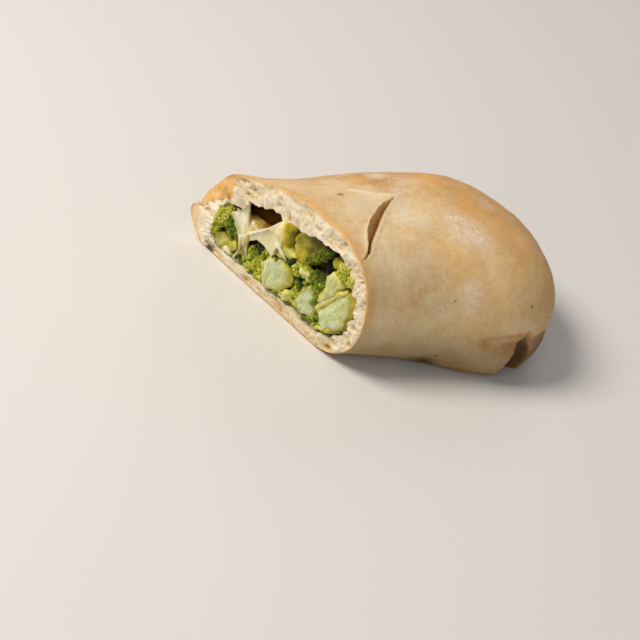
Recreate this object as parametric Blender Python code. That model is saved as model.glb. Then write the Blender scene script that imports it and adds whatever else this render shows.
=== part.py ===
# Half of a baked broccoli stromboli, as it lies after the knife has gone through the loaf on the slant.
# +X runs from the cut face towards the closed end, -Y is the tall side and +Y the low side with the seam.
# The flat base lies on Z = 0. The loaf is laid out from the middle of the cut, and is then moved as a
# whole so that the origin is under the middle of its box.
import math

import bmesh
import bpy
from mathutils import Matrix, Vector, noise
from mathutils.bvhtree import BVHTree

MM = 0.001
TOUCH_GAP = 0.3 * MM  # between pieces that lie against each other
CORE_GAP = 0.5 * MM  # between the dough and what fills it, apart from the pieces at the cut
MERGE = 0.01 * MM
SHARP_ANGLE = math.radians(60)
SMOOTH_ANGLE = math.radians(40)

# The cut face. W runs along it from the low side to the tall side, H up from the base, and OUT away
# from the loaf.
CUT_SLANT = math.radians(25)
CUT_WIDTH = 120 * MM
RIDGE_W = 82 * MM
ALONG_CUT = Vector((math.sin(CUT_SLANT), -math.cos(CUT_SLANT), 0))
OUT_OF_CUT = Vector((-math.cos(CUT_SLANT), -math.sin(CUT_SLANT), 0))
UP = Vector((0, 0, 1))

# The crust's form on rays that go out from the ridge: direction in degrees, reach to the widest point,
# height of that point, how far the base is drawn in under it, in mm, and how square the shoulder is (2 is
# an ellipse). The first and last few stand along the straight stretch, the ones between fan round the end.
STRAIGHT_STEPS = 3
RAYS = (
    (-65, 35, 27, 27, 2.4),
    (-65, 42, 27, 24, 2.4),
    (-65, 51, 26, 17, 2.3),
    (-65, 61, 25, 10, 2.2),
    (-48, 70, 25, 9, 2.1),
    (-29, 70, 26, 12, 2.0),
    (-9, 69, 26, 13, 1.8),
    (10, 66, 25, 12, 1.85),
    (28, 60, 24, 11, 2.05),
    (48, 56, 22, 10, 2.15),
    (70, 55, 20, 9, 2.1),
    (90, 56, 18, 9, 2.0),
    (98, 62, 15, 10, 2.0),
    (107, 71, 12, 11, 2.0),
    (115, 83, 9, 11, 2.0),
)
LAST_RAY = len(RAYS) - 1
END_CENTRE = Vector((62, -3, 0)) * MM  # where the fan's rays start
RIDGE_HEIGHTS = (62.6, 62.5, 64, 64.5)  # at the straight steps, in mm
CRUST_RAYS_PER_STEP = 5
HOLLOW_RAYS_PER_STEP = 3
SHOULDER_STEPS = 13
UNDER_STEPS = 7
BASE_STEPS = 3

# The dough wall round the filling.
WALL_TALL_SIDE = 7.5 * MM
WALL_LOW_SIDE = 10 * MM
WALL_LOW_SIDE_RAYS = (6, 11)  # over which it thickens
WALL_END = 9 * MM
WALL_END_RAYS = ((3, 4.5), (8.5, 10))  # over which it comes and goes
WALL_TOP = 12 * MM
WALL_BASE = 6 * MM
UNDER_WALL_SHARE = 0.7  # the wall's share of its thickness under the overhang

# Unevenness from shaping by hand.
LUMP_SIZE = 34 * MM
LUMP_DEPTH = 1.1 * MM
SMALL_LUMPS = 0.4  # their size, as a share of the large ones'
SMALL_LUMP_SHARE = 0.35  # and their depth
RELIEF_FADE = 8 * MM  # the height over which relief grows from nothing at the flat base

# The seam on the low side, where the bottom sheet laps up outside the top one.
SEAM_FIRST_RAY = 8.6
SEAM_LIP_FADE = 1.5  # in rays
SEAM_HEIGHT = 17 * MM
SEAM_LIP = 3.2 * MM
SEAM_DEPTH = 2.4 * MM
SEAM_HALF_WIDTH = 1.1 * MM
SEAM_START = 0.6  # the parting begins this far after the lip, in rays
SEAM_STEPS = 36
SEAM_RUN_IN = 6  # steps over which it deepens
SEAM_MOUTH = (2.2, -0.6)  # its upper and lower edge outside the crust, in half widths
SEAM_OVERRUN = 6 * MM  # beyond the crust and the cut

# At the low corner the knife has dragged the top sheet's crust back from the cut.
DRAG_BACK = 8 * MM
DRAG_W = (10, 26)  # from full to nothing along the cut, in mm
DRAG_H = (16, 21)  # from nothing to full up the cut
DRAG_REACH = 24 * MM

# The pinch line low on the tall side, and the tucked fold of the closed end beyond it.
PINCH_RAYS = (2.6, 5.2)
PINCH_FADE = 0.8
PINCH_HEIGHT = 23 * MM
PINCH_WIDTH = 4 * MM
PINCH_DEPTH = 1.6 * MM
FOLD_TOP = Vector((104, -60, 30)) * MM
FOLD_FOOT = Vector((100, -54, -4)) * MM
FOLD_RADII = (7.5 * MM, 2 * MM)
FOLD_SIDES = 9

# The vent slit on the crown, in plan, and its widths, all in mm.
SLIT_X = (45.9, 39, 34, 30.2, 27.4, 25.4, 24, 20.3)
SLIT_Y = (-4.1, -10.2, -16.9, -23.2, -28.8, -34.5, -38, -42)
SLIT_WIDTHS = (0, 2.6, 3.8, 4.4, 4.4, 2.4, 1.6, 0)
SLIT_NARROWEST = 0.15
SLIT_DEPTH = 8 * MM
SLIT_END_SHARE = 0.25  # its depth at the ends
SLIT_LEAN = 0.2  # how far its bottom lies off the middle, in widths
SLIT_ABOVE = 3 * MM
SLIT_STEPS_PER_POINT = 3

# The cheese: a blanket over the low half of the broccoli, from its outline in the cut (W, H in mm) back
# through the loaf, with a pocket of steam left above it at the cut.
BLANKET = (
    (22.5, 60), (23, 31), (26, 22), (33, 22.5), (41, 25.5), (50, 29), (57, 34), (60.5, 41), (62, 60),
)
BLANKET_ALONG = (-8, 150)  # from in front of the cut to past the closed end
POCKET_CENTRE = (40, 42)
POCKET_HALF = (18, 6.5, 20)  # along the cut, up, and into the loaf, in mm
POCKET_TILT = math.radians(19)
CHEESE_FRONT = -0.5  # OUT in mm
# The drape and the curtain on its front: outlines in the cut, and how far each goes in and out, in mm.
DRAPE = ((38, 30.5), (46, 36), (57, 42), (58.5, 36), (54, 30), (50.5, 24), (47, 26))
DRAPE_OUT = (-6, 1.8)
CURTAIN = ((26, 29), (30.5, 37.5), (34, 38.5), (36, 30), (34.5, 23), (31.5, 22), (28, 24))
CURTAIN_OUT = (-5, 0.8)
# Strands pulled down from it: W, H, OUT and radius in mm along each.
STRANDS = (
    (
        (32, 24, -0.4, 1.7),
        (32.6, 17, 1.0, 1.0),
        (31.8, 11.5, 1.6, 0.8),
        (29.5, 7.9, 0.9, 0.7),
        (28, 7.4, -1.6, 0.9),
    ),
    (
        (33.8, 25, -0.4, 1.6),
        (35.2, 18.5, 1.1, 0.8),
        (35.4, 12.5, 0.9, 0.6),
        (35.4, 10, -1.6, 0.8),
    ),
)
STRAND_SIDES = 6

# The broccoli. The core fills the hollow, and the pieces that show at the cut stand on it.
CORE_FRONT = -1.8  # OUT in mm
PIECES_FRONT = 5
# Florets: W, H, OUT and radius in mm.
FLORETS = (
    (16.5, 17.5, -2.5, 6.6),
    (17.5, 10, -3, 5.0),
    (41.5, 17.5, -2.5, 6.2),
    (42.5, 10.5, -2.5, 4.2),
    (78, 32, -3.2, 7.2),
    (71, 22.5, -2.6, 5.0),
    (82, 22, -3, 5.4),
    (99.5, 42.5, -2.4, 6.6),
    (91.5, 36.5, -2.6, 4.6),
    (70, 11, -2.4, 4.6),
    (79, 13, -2.4, 4.8),
)
# Stems: W, H, OUT, half width, half height, half depth in mm, and how far the piece leans in degrees.
STEMS = (
    (24.5, 10.5, -3.5, 4.2, 4.2, 5.5, 20),
    (58.5, 17.5, -5, 8.2, 11.5, 7, -12),
    (64.5, 39, -3.5, 4.6, 7.0, 7, -28),
    (78, 44.5, -4.2, 9.5, 5.2, 7, 12),
    (97, 21.5, -5.5, 11.5, 10.0, 7.5, 38),
)
STEM_SIDES = 9
STEM_TAPER = 0.94
STEM_ROUNDING = 1.2 * MM
BUD_SIZE = 3.2 * MM
BUD_DEPTH = 0.28  # of the floret's radius


def clear_scene():
    for item in list(bpy.data.objects):
        bpy.data.objects.remove(item, do_unlink=True)


def smooth_step(low, high, value):
    t = min(max((value - low) / (high - low), 0), 1)
    return t * t * (3 - 2 * t)


def between(values, position):
    """A value on the smooth curve through evenly spaced values."""
    last = len(values) - 1
    step = min(int(position), last - 1)
    t = position - step
    start, end = values[step], values[step + 1]
    slope_start = (end - values[max(step - 1, 0)]) / 2
    slope_end = (values[min(step + 2, last)] - start) / 2
    value = start + (end - start) * (3 * t * t - 2 * t * t * t)
    return value + slope_start * t * (1 - t) ** 2 - slope_end * t * t * (1 - t)


def on_cut(w, h, out=0.0):
    """A point given in mm along the cut, up, and out of its plane."""
    return ALONG_CUT * (w * MM - CUT_WIDTH / 2) + UP * (h * MM) + OUT_OF_CUT * (out * MM)


def crust_form(position):
    """The crust's section on one ray."""
    along = min(position, LAST_RAY - position, STRAIGHT_STEPS)
    angle, reach, waist, drawn_in, shoulder = (between(column, position) for column in zip(*RAYS))
    ridge_start = ALONG_CUT * (RIDGE_W - CUT_WIDTH / 2)
    return {
        "origin": ridge_start.lerp(END_CENTRE, along / STRAIGHT_STEPS),
        "direction": Vector((math.cos(math.radians(angle)), math.sin(math.radians(angle)), 0)),
        "height": between(RIDGE_HEIGHTS, along) * MM,
        "reach": reach * MM,
        "waist": waist * MM,
        "foot": (reach - drawn_in) * MM,
        "floor": 0.0,
        "shoulder": shoulder,
    }


def hollow_form(position, gap=0.0):
    """The section of the hollow in the dough, or of what fills it with a gap all round."""
    form = crust_form(position)
    side = WALL_TALL_SIDE + (WALL_LOW_SIDE - WALL_TALL_SIDE) * smooth_step(*WALL_LOW_SIDE_RAYS, position)
    comes, goes = WALL_END_RAYS
    round_end = smooth_step(*comes, position) * (1 - smooth_step(*goes, position))
    side += (WALL_END - side) * round_end
    form["reach"] -= side + gap
    form["foot"] -= side * UNDER_WALL_SHARE + gap
    form["height"] -= WALL_TOP + gap
    form["floor"] = WALL_BASE + gap
    return form


def section(form):
    """Distance out and height, from the ridge over the side to the middle of the base."""
    reach, waist, foot, floor = form["reach"], form["waist"], form["foot"], form["floor"]
    power = 2 / form["shoulder"]
    points = []
    for k in range(SHOULDER_STEPS + 1):
        a = math.pi / 2 * k / SHOULDER_STEPS
        rise = max(math.cos(a), 0) ** power
        points.append((reach * math.sin(a) ** power, waist + (form["height"] - waist) * rise))
    for k in range(1, UNDER_STEPS + 1):
        a = math.pi / 2 * k / UNDER_STEPS
        points.append((foot + (reach - foot) * math.cos(a), waist - (waist - floor) * math.sin(a)))
    for k in range(1, BASE_STEPS + 1):
        points.append((foot * (1 - k / BASE_STEPS), floor))
    return points


def crust_relief(point, position):
    """How far the crust stands out at a point: hand-shaped lumps, the seam's lip and the pinch line."""
    lumps = noise.noise(point / LUMP_SIZE)
    lumps += SMALL_LUMP_SHARE * noise.noise(point / (LUMP_SIZE * SMALL_LUMPS))
    below_seam = 1 - smooth_step(SEAM_HEIGHT - SEAM_HALF_WIDTH, SEAM_HEIGHT + SEAM_HALF_WIDTH, point.z)
    lip = SEAM_LIP * smooth_step(SEAM_FIRST_RAY, SEAM_FIRST_RAY + SEAM_LIP_FADE, position) * below_seam
    first, last = PINCH_RAYS
    pinched = smooth_step(first, first + PINCH_FADE, position)
    pinched *= 1 - smooth_step(last - PINCH_FADE, last, position)
    pinch = PINCH_DEPTH * pinched * math.exp(-(((point.z - PINCH_HEIGHT) / PINCH_WIDTH) ** 2))
    return LUMP_DEPTH * lumps + lip - pinch


def drag_back(point):
    """Moves the crust's edge back from the cut at the low corner."""
    from_middle = point.dot(ALONG_CUT)
    w = (from_middle + CUT_WIDTH / 2) / MM
    inside = -point.dot(OUT_OF_CUT)
    amount = (1 - smooth_step(*DRAG_W, w)) * smooth_step(*DRAG_H, point.z / MM)
    return point - OUT_OF_CUT * (DRAG_BACK * amount * max(1 - inside / DRAG_REACH, 0))


def section_in_place(form, position, relief=None):
    """The section's points in space. Relief moves them along its normal, and leaves the base flat."""
    flat = section(form)
    points = []
    for k, (out, up) in enumerate(flat):
        point = form["origin"] + form["direction"] * out + UP * up
        if relief and k < SHOULDER_STEPS + UNDER_STEPS:
            before, after = flat[max(k - 1, 0)], flat[k + 1]
            run, drop = (after[0] - before[0], before[1] - after[1]) if k else (1.0, 0.0)
            amount = relief(point, position) / math.hypot(run, drop) * smooth_step(0, RELIEF_FADE, up)
            point += (form["direction"] * drop + UP * run) * amount
            point = drag_back(point)
        points.append(point)
    return points


def loft(mesh, form_at, per_step, relief=None):
    """Skins the sections on all rays and returns the ring of vertices round the opening at the cut."""
    rows = []
    for k in range(LAST_RAY * per_step + 1):
        position = k / per_step
        rows.append([mesh.verts.new(p) for p in section_in_place(form_at(position), position, relief)])
    for row, after in zip(rows, rows[1:]):
        for a, b, c, d in zip(row, row[1:], after[1:], after):
            mesh.faces.new((a, b, c, d))
    return rows[0] + rows[-1][-2:0:-1]


def tidy(mesh):
    bmesh.ops.remove_doubles(mesh, verts=mesh.verts, dist=MERGE)
    bmesh.ops.dissolve_degenerate(mesh, edges=mesh.edges, dist=MERGE)
    bmesh.ops.recalc_face_normals(mesh, faces=mesh.faces)


def new_object(name, mesh):
    data = bpy.data.meshes.new(name)
    mesh.to_mesh(data)
    mesh.free()
    item = bpy.data.objects.new(name, data)
    bpy.context.scene.collection.objects.link(item)
    return item


def new_material(name, colour, roughness):
    material = bpy.data.materials.new(name)
    material.use_nodes = True
    shader = material.node_tree.nodes["Principled BSDF"]
    shader.inputs["Base Color"].default_value = (*colour, 1)
    shader.inputs["Roughness"].default_value = roughness
    shader.inputs["Metallic"].default_value = 0
    return material


def combine(target, others, operation):
    """Joins, cuts or trims target with other objects, which are then removed."""
    group = bpy.data.collections.new("operands")
    bpy.context.scene.collection.children.link(group)
    for other in others:
        group.objects.link(other)
        other.hide_render = True
        other.display_type = "WIRE"
    modifier = target.modifiers.new("combine", "BOOLEAN")
    modifier.operation = operation
    modifier.operand_type = "COLLECTION" if len(others) > 1 else "OBJECT"
    if len(others) > 1:
        modifier.collection = group
    else:
        modifier.object = others[0]
    modifier.solver = "EXACT"
    graph = bpy.context.evaluated_depsgraph_get()
    result = bpy.data.meshes.new_from_object(target.evaluated_get(graph))
    target.modifiers.remove(modifier)
    mesh = bmesh.new()
    mesh.from_mesh(result)
    bmesh.ops.triangulate(mesh, faces=mesh.faces)
    tidy(mesh)
    mesh.to_mesh(result)
    mesh.free()
    old, target.data = target.data, result
    bpy.data.meshes.remove(old)
    for other in list(others):
        bpy.data.objects.remove(other, do_unlink=True)
    bpy.data.collections.remove(group)


def skin_rings(mesh, rings):
    """Skins closed rings of vertices one after another and caps both ends."""
    sides = len(rings[0])
    for ring, after in zip(rings, rings[1:]):
        for j in range(sides):
            beside = (j + 1) % sides
            mesh.faces.new((ring[j], ring[beside], after[beside], after[j]))
    mesh.faces.new(rings[0])
    mesh.faces.new(rings[-1])
    tidy(mesh)


def prism(name, outline, out_range, grow=0.0, sweep=OUT_OF_CUT):
    """A block with its outline (W, H in mm) in the cut, swept between two distances in mm."""
    mesh = bmesh.new()
    low, high = out_range
    ends = []
    for distance in (low - grow / MM, high + grow / MM):
        ends.append([mesh.verts.new(on_cut(w, h) + sweep * (distance * MM)) for w, h in outline])
    skin_rings(mesh, ends)
    if grow:
        grow_outward(mesh, grow)
    return new_object(name, mesh)


def grow_outward(mesh, distance):
    mesh.normal_update()
    moves = [(vertex, vertex.normal * distance * vertex.calc_shell_factor()) for vertex in mesh.verts]
    for vertex, move in moves:
        vertex.co += move


def tube(name, centres, grow=0.0):
    """A closed tube through points (W, H, OUT and radius in mm)."""
    mesh = bmesh.new()
    places = [on_cut(w, h, out) for w, h, out, radius in centres]
    rings = []
    for k, place in enumerate(places):
        forward = (places[min(k + 1, len(places) - 1)] - places[max(k - 1, 0)]).normalized()
        side = forward.cross(OUT_OF_CUT).normalized()
        across = forward.cross(side)
        radius = centres[k][3] * MM + grow
        ring = []
        for j in range(STRAND_SIDES):
            a = 2 * math.pi * j / STRAND_SIDES
            ring.append(mesh.verts.new(place + (side * math.cos(a) + across * math.sin(a)) * radius))
        rings.append(ring)
    skin_rings(mesh, rings)
    return new_object(name, mesh)


def fill_solid(name, front, gap=CORE_GAP):
    """What fills the hollow, with a gap all round, up to a distance out of the cut in mm."""
    mesh = bmesh.new()
    ring = loft(mesh, lambda position: hollow_form(position, gap), HOLLOW_RAYS_PER_STEP)
    beyond = [mesh.verts.new(v.co + OUT_OF_CUT * (PIECES_FRONT * MM)) for v in ring]
    for k in range(len(ring)):
        after = (k + 1) % len(ring)
        mesh.faces.new((ring[after], ring[k], beyond[k], beyond[after]))
    mesh.faces.new(beyond)
    tidy(mesh)
    if front < PIECES_FRONT:
        everything = mesh.verts[:] + mesh.edges[:] + mesh.faces[:]
        place = on_cut(0, 0, front)
        bmesh.ops.bisect_plane(
            mesh, geom=everything, plane_co=place, plane_no=OUT_OF_CUT, clear_outer=True, dist=MERGE
        )
        bmesh.ops.holes_fill(mesh, edges=[edge for edge in mesh.edges if edge.is_boundary])
        tidy(mesh)
    return new_object(name, mesh)


def seam_cutter():
    """A wedge along the low side that parts the two sheets."""
    mesh = bmesh.new()
    start = SEAM_FIRST_RAY + SEAM_START
    upper, lower = (share * SEAM_HALF_WIDTH for share in SEAM_MOUTH)
    rings = []
    for k in range(SEAM_STEPS + 1):
        position = start + (LAST_RAY - start) * k / SEAM_STEPS
        form = crust_form(position)
        rise = (SEAM_HEIGHT - form["waist"]) / (form["height"] - form["waist"])
        a = math.acos(max(rise, 0) ** (form["shoulder"] / 2))
        surface = form["reach"] * math.sin(a) ** (2 / form["shoulder"])
        deep = SEAM_DEPTH * smooth_step(0, SEAM_RUN_IN, k)
        beyond = OUT_OF_CUT * (SEAM_OVERRUN if k == SEAM_STEPS else 0)
        corners = ((-deep, 0), (SEAM_OVERRUN, upper), (SEAM_OVERRUN, lower))
        ring = []
        for out, up in corners:
            place = form["origin"] + form["direction"] * (surface + out) + UP * (SEAM_HEIGHT + up)
            ring.append(mesh.verts.new(place + beyond))
        rings.append(ring)
    skin_rings(mesh, rings)
    return new_object("seam cutter", mesh)


def slit_point(position):
    """A point of the slit's line in plan."""
    return Vector((between(SLIT_X, position), between(SLIT_Y, position), 0)) * MM


def slit_cutter(crust):
    """A bowed wedge that opens the vent slit to its depth below the crown."""
    mesh = bmesh.new()
    tree = BVHTree.FromBMesh(crust)
    steps = (len(SLIT_X) - 1) * SLIT_STEPS_PER_POINT
    rings = []
    for k in range(steps + 1):
        position = k / SLIT_STEPS_PER_POINT
        plan, ahead = slit_point(position), slit_point(position + 0.1)
        across = (ahead - plan).normalized().cross(UP)
        width = max(between(SLIT_WIDTHS, position), SLIT_NARROWEST) * MM
        surface, normal, index, distance = tree.ray_cast(plan + UP, -UP)
        bow = math.sin(math.pi * k / steps) ** 0.5
        depth = SLIT_DEPTH * (SLIT_END_SHARE + (1 - SLIT_END_SHARE) * bow)
        spread = width / 2 * (1 + SLIT_ABOVE / depth)
        mouth = [surface + UP * SLIT_ABOVE + across * side for side in (-spread, spread)]
        bottom = surface - UP * depth + across * (width * SLIT_LEAN)
        rings.append([mesh.verts.new(corner) for corner in mouth + [bottom]])
    skin_rings(mesh, rings)
    return new_object("slit cutter", mesh)


def fold_cutter():
    """A tapering hollow where the closed end is tucked under."""
    mesh = bmesh.new()
    axis = FOLD_TOP - FOLD_FOOT
    turn = axis.to_track_quat("Z", "Y").to_matrix().to_4x4()
    place = Matrix.Translation((FOLD_TOP + FOLD_FOOT) / 2) @ turn
    wide, narrow = FOLD_RADII
    size = {"radius1": wide, "radius2": narrow, "depth": axis.length}
    bmesh.ops.create_cone(mesh, cap_ends=True, segments=FOLD_SIDES, matrix=place, **size)
    return new_object("fold cutter", mesh)


def make_dough():
    mesh = bmesh.new()
    outer = loft(mesh, crust_form, CRUST_RAYS_PER_STEP, crust_relief)
    inner = loft(mesh, hollow_form, HOLLOW_RAYS_PER_STEP)
    for k in range(len(outer)):
        after = (k + 1) % len(outer)
        mesh.faces.new((outer[k], outer[after], inner[after], inner[k]))
    tidy(mesh)
    cutters = [seam_cutter(), slit_cutter(mesh), fold_cutter()]
    dough = new_object("dough", mesh)
    combine(dough, cutters, "DIFFERENCE")
    return dough


def cheese_parts(grow=0.0):
    """The blanket's block, then the drape, the curtain and the strands that hang at the cut."""
    along_loaf = (END_CENTRE - ALONG_CUT * (RIDGE_W - CUT_WIDTH / 2)).normalized()
    front = prism("blanket", BLANKET, BLANKET_ALONG, grow, along_loaf)
    hanging = [prism("drape", DRAPE, DRAPE_OUT, grow), prism("curtain", CURTAIN, CURTAIN_OUT, grow)]
    hanging += [tube("strand", centres, grow) for centres in STRANDS]
    return front, hanging


def steam_pocket():
    mesh = bmesh.new()
    w, h = POCKET_CENTRE
    across, up, deep = (half * MM for half in POCKET_HALF)
    frame = Matrix((ALONG_CUT, UP.cross(ALONG_CUT), UP)).transposed().to_4x4()
    place = Matrix.Translation(on_cut(w, h)) @ frame @ Matrix.Rotation(-POCKET_TILT, 4, "Y")
    place = place @ Matrix.Diagonal((across, deep, up, 1))
    bmesh.ops.create_icosphere(mesh, subdivisions=3, radius=1, matrix=place)
    return new_object("steam pocket", mesh)


def make_cheese():
    block, hanging = cheese_parts()
    cheese = fill_solid("melted_cheese", CHEESE_FRONT)
    combine(cheese, [block], "INTERSECT")
    combine(cheese, [steam_pocket()], "DIFFERENCE")
    combine(cheese, hanging, "UNION")
    combine(cheese, [fill_solid("room", PIECES_FRONT, TOUCH_GAP)], "INTERSECT")
    return cheese


def floret(w, h, out, radius):
    """A knobbly floret head."""
    mesh = bmesh.new()
    bmesh.ops.create_icosphere(mesh, subdivisions=3, radius=radius * MM)
    offset = Vector((w, h, radius))
    for vertex in mesh.verts:
        bumps = noise.noise(vertex.co / BUD_SIZE + offset)
        vertex.co *= 1 + BUD_DEPTH * bumps
        vertex.co += on_cut(w, h, out)
    return new_object("floret", mesh)


def stem(w, h, out, half_width, half_height, half_depth, lean):
    """A cut piece of stem with softened edges."""
    mesh = bmesh.new()
    frame = Matrix((ALONG_CUT, UP, OUT_OF_CUT)).transposed().to_4x4()
    place = Matrix.Translation(on_cut(w, h, out)) @ frame @ Matrix.Rotation(math.radians(lean), 4, "Z")
    place = place @ Matrix.Diagonal((half_width * MM, half_height * MM, half_depth * MM, 1))
    bmesh.ops.create_cone(
        mesh, cap_ends=True, segments=STEM_SIDES, radius1=1, radius2=STEM_TAPER, depth=2, matrix=place
    )
    rims = [edge for edge in mesh.edges if edge.calc_face_angle(0) > SHARP_ANGLE]
    bmesh.ops.bevel(
        mesh, geom=rims, offset=STEM_ROUNDING, segments=1, profile=0.5, affect="EDGES", material=-1
    )
    tidy(mesh)
    return new_object("stem", mesh)


def make_filling():
    filling = fill_solid("broccoli_filling", CORE_FRONT)
    pieces = [floret(*values) for values in FLORETS] + [stem(*values) for values in STEMS]
    combine(filling, pieces, "UNION")
    combine(filling, [fill_solid("room", PIECES_FRONT, TOUCH_GAP)], "INTERSECT")
    block, hanging = cheese_parts(TOUCH_GAP)
    for part_of_cheese in [block] + hanging:
        combine(filling, [part_of_cheese], "DIFFERENCE")
    return filling


def keep_largest_shell(item):
    """Drops the scraps that cutting leaves loose."""
    mesh = bmesh.new()
    mesh.from_mesh(item.data)
    shells = []
    waiting = set(mesh.verts)
    while waiting:
        shell, edge_of_shell = set(), [waiting.pop()]
        while edge_of_shell:
            vertex = edge_of_shell.pop()
            shell.add(vertex)
            for edge in vertex.link_edges:
                other = edge.other_vert(vertex)
                if other in waiting:
                    waiting.remove(other)
                    edge_of_shell.append(other)
        shells.append(shell)
    shells.sort(key=len)
    for shell in shells[:-1]:
        bmesh.ops.delete(mesh, geom=list(shell), context="VERTS")
    bmesh.ops.triangulate(mesh, faces=mesh.faces)
    mesh.to_mesh(item.data)
    mesh.free()


def finish(item, material):
    item.data.materials.clear()
    item.data.materials.append(material)
    item.data.shade_smooth()
    item.data.set_sharp_from_angle(angle=SMOOTH_ANGLE)


def main():
    clear_scene()
    dough = make_dough()
    cheese = make_cheese()
    filling = make_filling()
    for item in (cheese, filling):
        keep_largest_shell(item)
    middle = Vector((0, 0, 0))
    for axis in (0, 1):
        places = [vertex.co[axis] for vertex in dough.data.vertices]
        middle[axis] = (min(places) + max(places)) / 2
    for item in (dough, cheese, filling):
        item.data.transform(Matrix.Translation(-middle))
    finish(dough, new_material("baked dough", (0.62, 0.42, 0.22), 0.7))
    finish(cheese, new_material("melted mozzarella", (0.80, 0.74, 0.52), 0.35))
    finish(filling, new_material("steamed broccoli", (0.22, 0.36, 0.05), 0.5))


main()
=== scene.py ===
import math
import random
from functools import partial

import bmesh
import bpy
from mathutils import Matrix, Vector, kdtree
from mathutils.noise import noise, voronoi


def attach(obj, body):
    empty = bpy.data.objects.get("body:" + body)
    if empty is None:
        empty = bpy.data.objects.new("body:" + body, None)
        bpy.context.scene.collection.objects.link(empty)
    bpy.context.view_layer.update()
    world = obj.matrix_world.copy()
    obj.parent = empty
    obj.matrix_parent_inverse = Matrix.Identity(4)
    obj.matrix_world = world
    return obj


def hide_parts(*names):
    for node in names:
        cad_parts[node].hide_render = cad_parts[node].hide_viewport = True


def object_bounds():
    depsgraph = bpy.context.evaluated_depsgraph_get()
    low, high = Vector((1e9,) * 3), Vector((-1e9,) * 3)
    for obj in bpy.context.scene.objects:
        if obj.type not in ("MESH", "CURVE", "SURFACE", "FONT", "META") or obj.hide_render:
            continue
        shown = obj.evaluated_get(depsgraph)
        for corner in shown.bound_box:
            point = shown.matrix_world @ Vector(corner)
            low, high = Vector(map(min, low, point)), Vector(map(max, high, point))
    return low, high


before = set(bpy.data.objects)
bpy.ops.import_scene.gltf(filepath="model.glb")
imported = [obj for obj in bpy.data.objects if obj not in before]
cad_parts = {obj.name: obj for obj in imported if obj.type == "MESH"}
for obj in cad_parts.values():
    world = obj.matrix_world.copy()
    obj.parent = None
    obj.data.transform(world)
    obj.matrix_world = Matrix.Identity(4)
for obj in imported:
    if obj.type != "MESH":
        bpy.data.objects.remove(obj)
cadLow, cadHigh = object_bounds()
print("frame loaded:", ", ".join(sorted(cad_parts)))

mm = 0.001  # pieces are laid out in millimetres, and brought to the frame's metres as they are finished

# Half a loaf of filled bread. +X runs from the middle of the cut to the closed end, -Y is the tall side.
loaf = {
    "cutSlant": math.radians(25),
    "cutWidth": 120,
    "ridgeAlongCut": 82,
    "endCentre": Vector((62, -3, 0)),  # the rays fan out from here
    "ridgeHeights": (62.6, 62.5, 64, 64.5),
    "straightRays": 3,
    "lowCorner": Vector((-27.17, -59.13, 0)),  # of the box round the loaf, from the middle of the cut
    "sectionShares": (0.64, 0.88),  # where the shoulder and the overhang end, from ridge to base
    "walls": {"tallSide": 7.5, "lowSide": 10, "end": 9, "top": 12, "base": 6, "under": 0.7},
}
# Direction in degrees, reach, height of the widest point, how far the base is drawn in, and how square the
# shoulder is.
rays = (
    (-65, 35, 27, 27, 2.4),
    (-65, 42, 27, 24, 2.4),
    (-65, 51, 26, 17, 2.3),
    (-65, 61, 25, 10, 2.2),
    (-48, 70, 25, 9, 2.1),
    (-29, 70, 26, 12, 2.0),
    (-9, 69, 26, 13, 1.8),
    (10, 66, 25, 12, 1.85),
    (28, 60, 24, 11, 2.05),
    (48, 56, 22, 10, 2.15),
    (70, 55, 20, 9, 2.1),
    (90, 56, 18, 9, 2.0),
    (98, 62, 15, 10, 2.0),
    (107, 71, 12, 11, 2.0),
    (115, 83, 9, 11, 2.0),
)
lastRay = len(rays) - 1
up = Vector((0, 0, 1))
alongCut = Vector((math.sin(loaf["cutSlant"]), -math.cos(loaf["cutSlant"]), 0))
outOfCut = Vector((-math.cos(loaf["cutSlant"]), -math.sin(loaf["cutSlant"]), 0))
toFrame = Matrix.Translation(cadLow - loaf["lowCorner"] * mm) @ Matrix.Scale(mm, 4)


def clamp(value, low=0, high=1):
    return min(max(value, low), high)


def rise(low, high, value):  # smoothly from 0 to 1
    t = clamp((value - low) / (high - low))
    return t * t * (3 - 2 * t)


def fall(low, high, value):
    return 1 - rise(low, high, value)


def between(values, position):  # on the smooth curve through evenly spaced values
    last = len(values) - 1
    step = clamp(int(position), 0, last - 1)
    t = position - step
    start, end = values[step], values[step + 1]
    slopeStart = (end - values[max(step - 1, 0)]) / 2
    slopeEnd = (values[min(step + 2, last)] - start) / 2
    value = start + (end - start) * (3 * t * t - 2 * t * t * t)
    return value + slopeStart * t * (1 - t) ** 2 - slopeEnd * t * t * (1 - t)


def onCut(w, h, out=0.0):  # along the cut from its low side, up, and out of its plane
    return alongCut * (w - loaf["cutWidth"] / 2) + up * h + outOfCut * out


def cutPlace(point):  # the same three numbers for a point
    return point.dot(alongCut) + loaf["cutWidth"] / 2, point.z, point.dot(outOfCut)


def flat(point):
    return Vector((point.x, point.y, 0))


def bell(distance, width):  # 1 at no distance, fading both ways
    return math.exp(-(distance / width) ** 2)


def bump(point, centre, radius):  # 1 at the centre, fading to 0 at the radius
    return fall(0, radius, (point - Vector(centre)).length)


def spot(point, w, h, radius, out=0):  # the same about a place on the cut
    return bump(point, onCut(w, h, out), radius)


def bumps(point, patches):
    return sum(amount * bump(point, centre, radius) for centre, radius, amount in patches)


# Colour, nodes and finished pieces

def toLinear(hexColour):
    channels = [int(hexColour[k:k + 2], 16) / 255 for k in (1, 3, 5)]
    return [c / 12.92 if c <= 0.04045 else ((c + 0.055) / 1.055) ** 2.4 for c in channels] + [1]


def toData(mesh, name):
    data = bpy.data.meshes.new(name)
    mesh.to_mesh(data)
    mesh.free()
    return data


def addObject(name, data):
    item = bpy.data.objects.new(name, data)
    bpy.context.scene.collection.objects.link(item)
    return item


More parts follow.
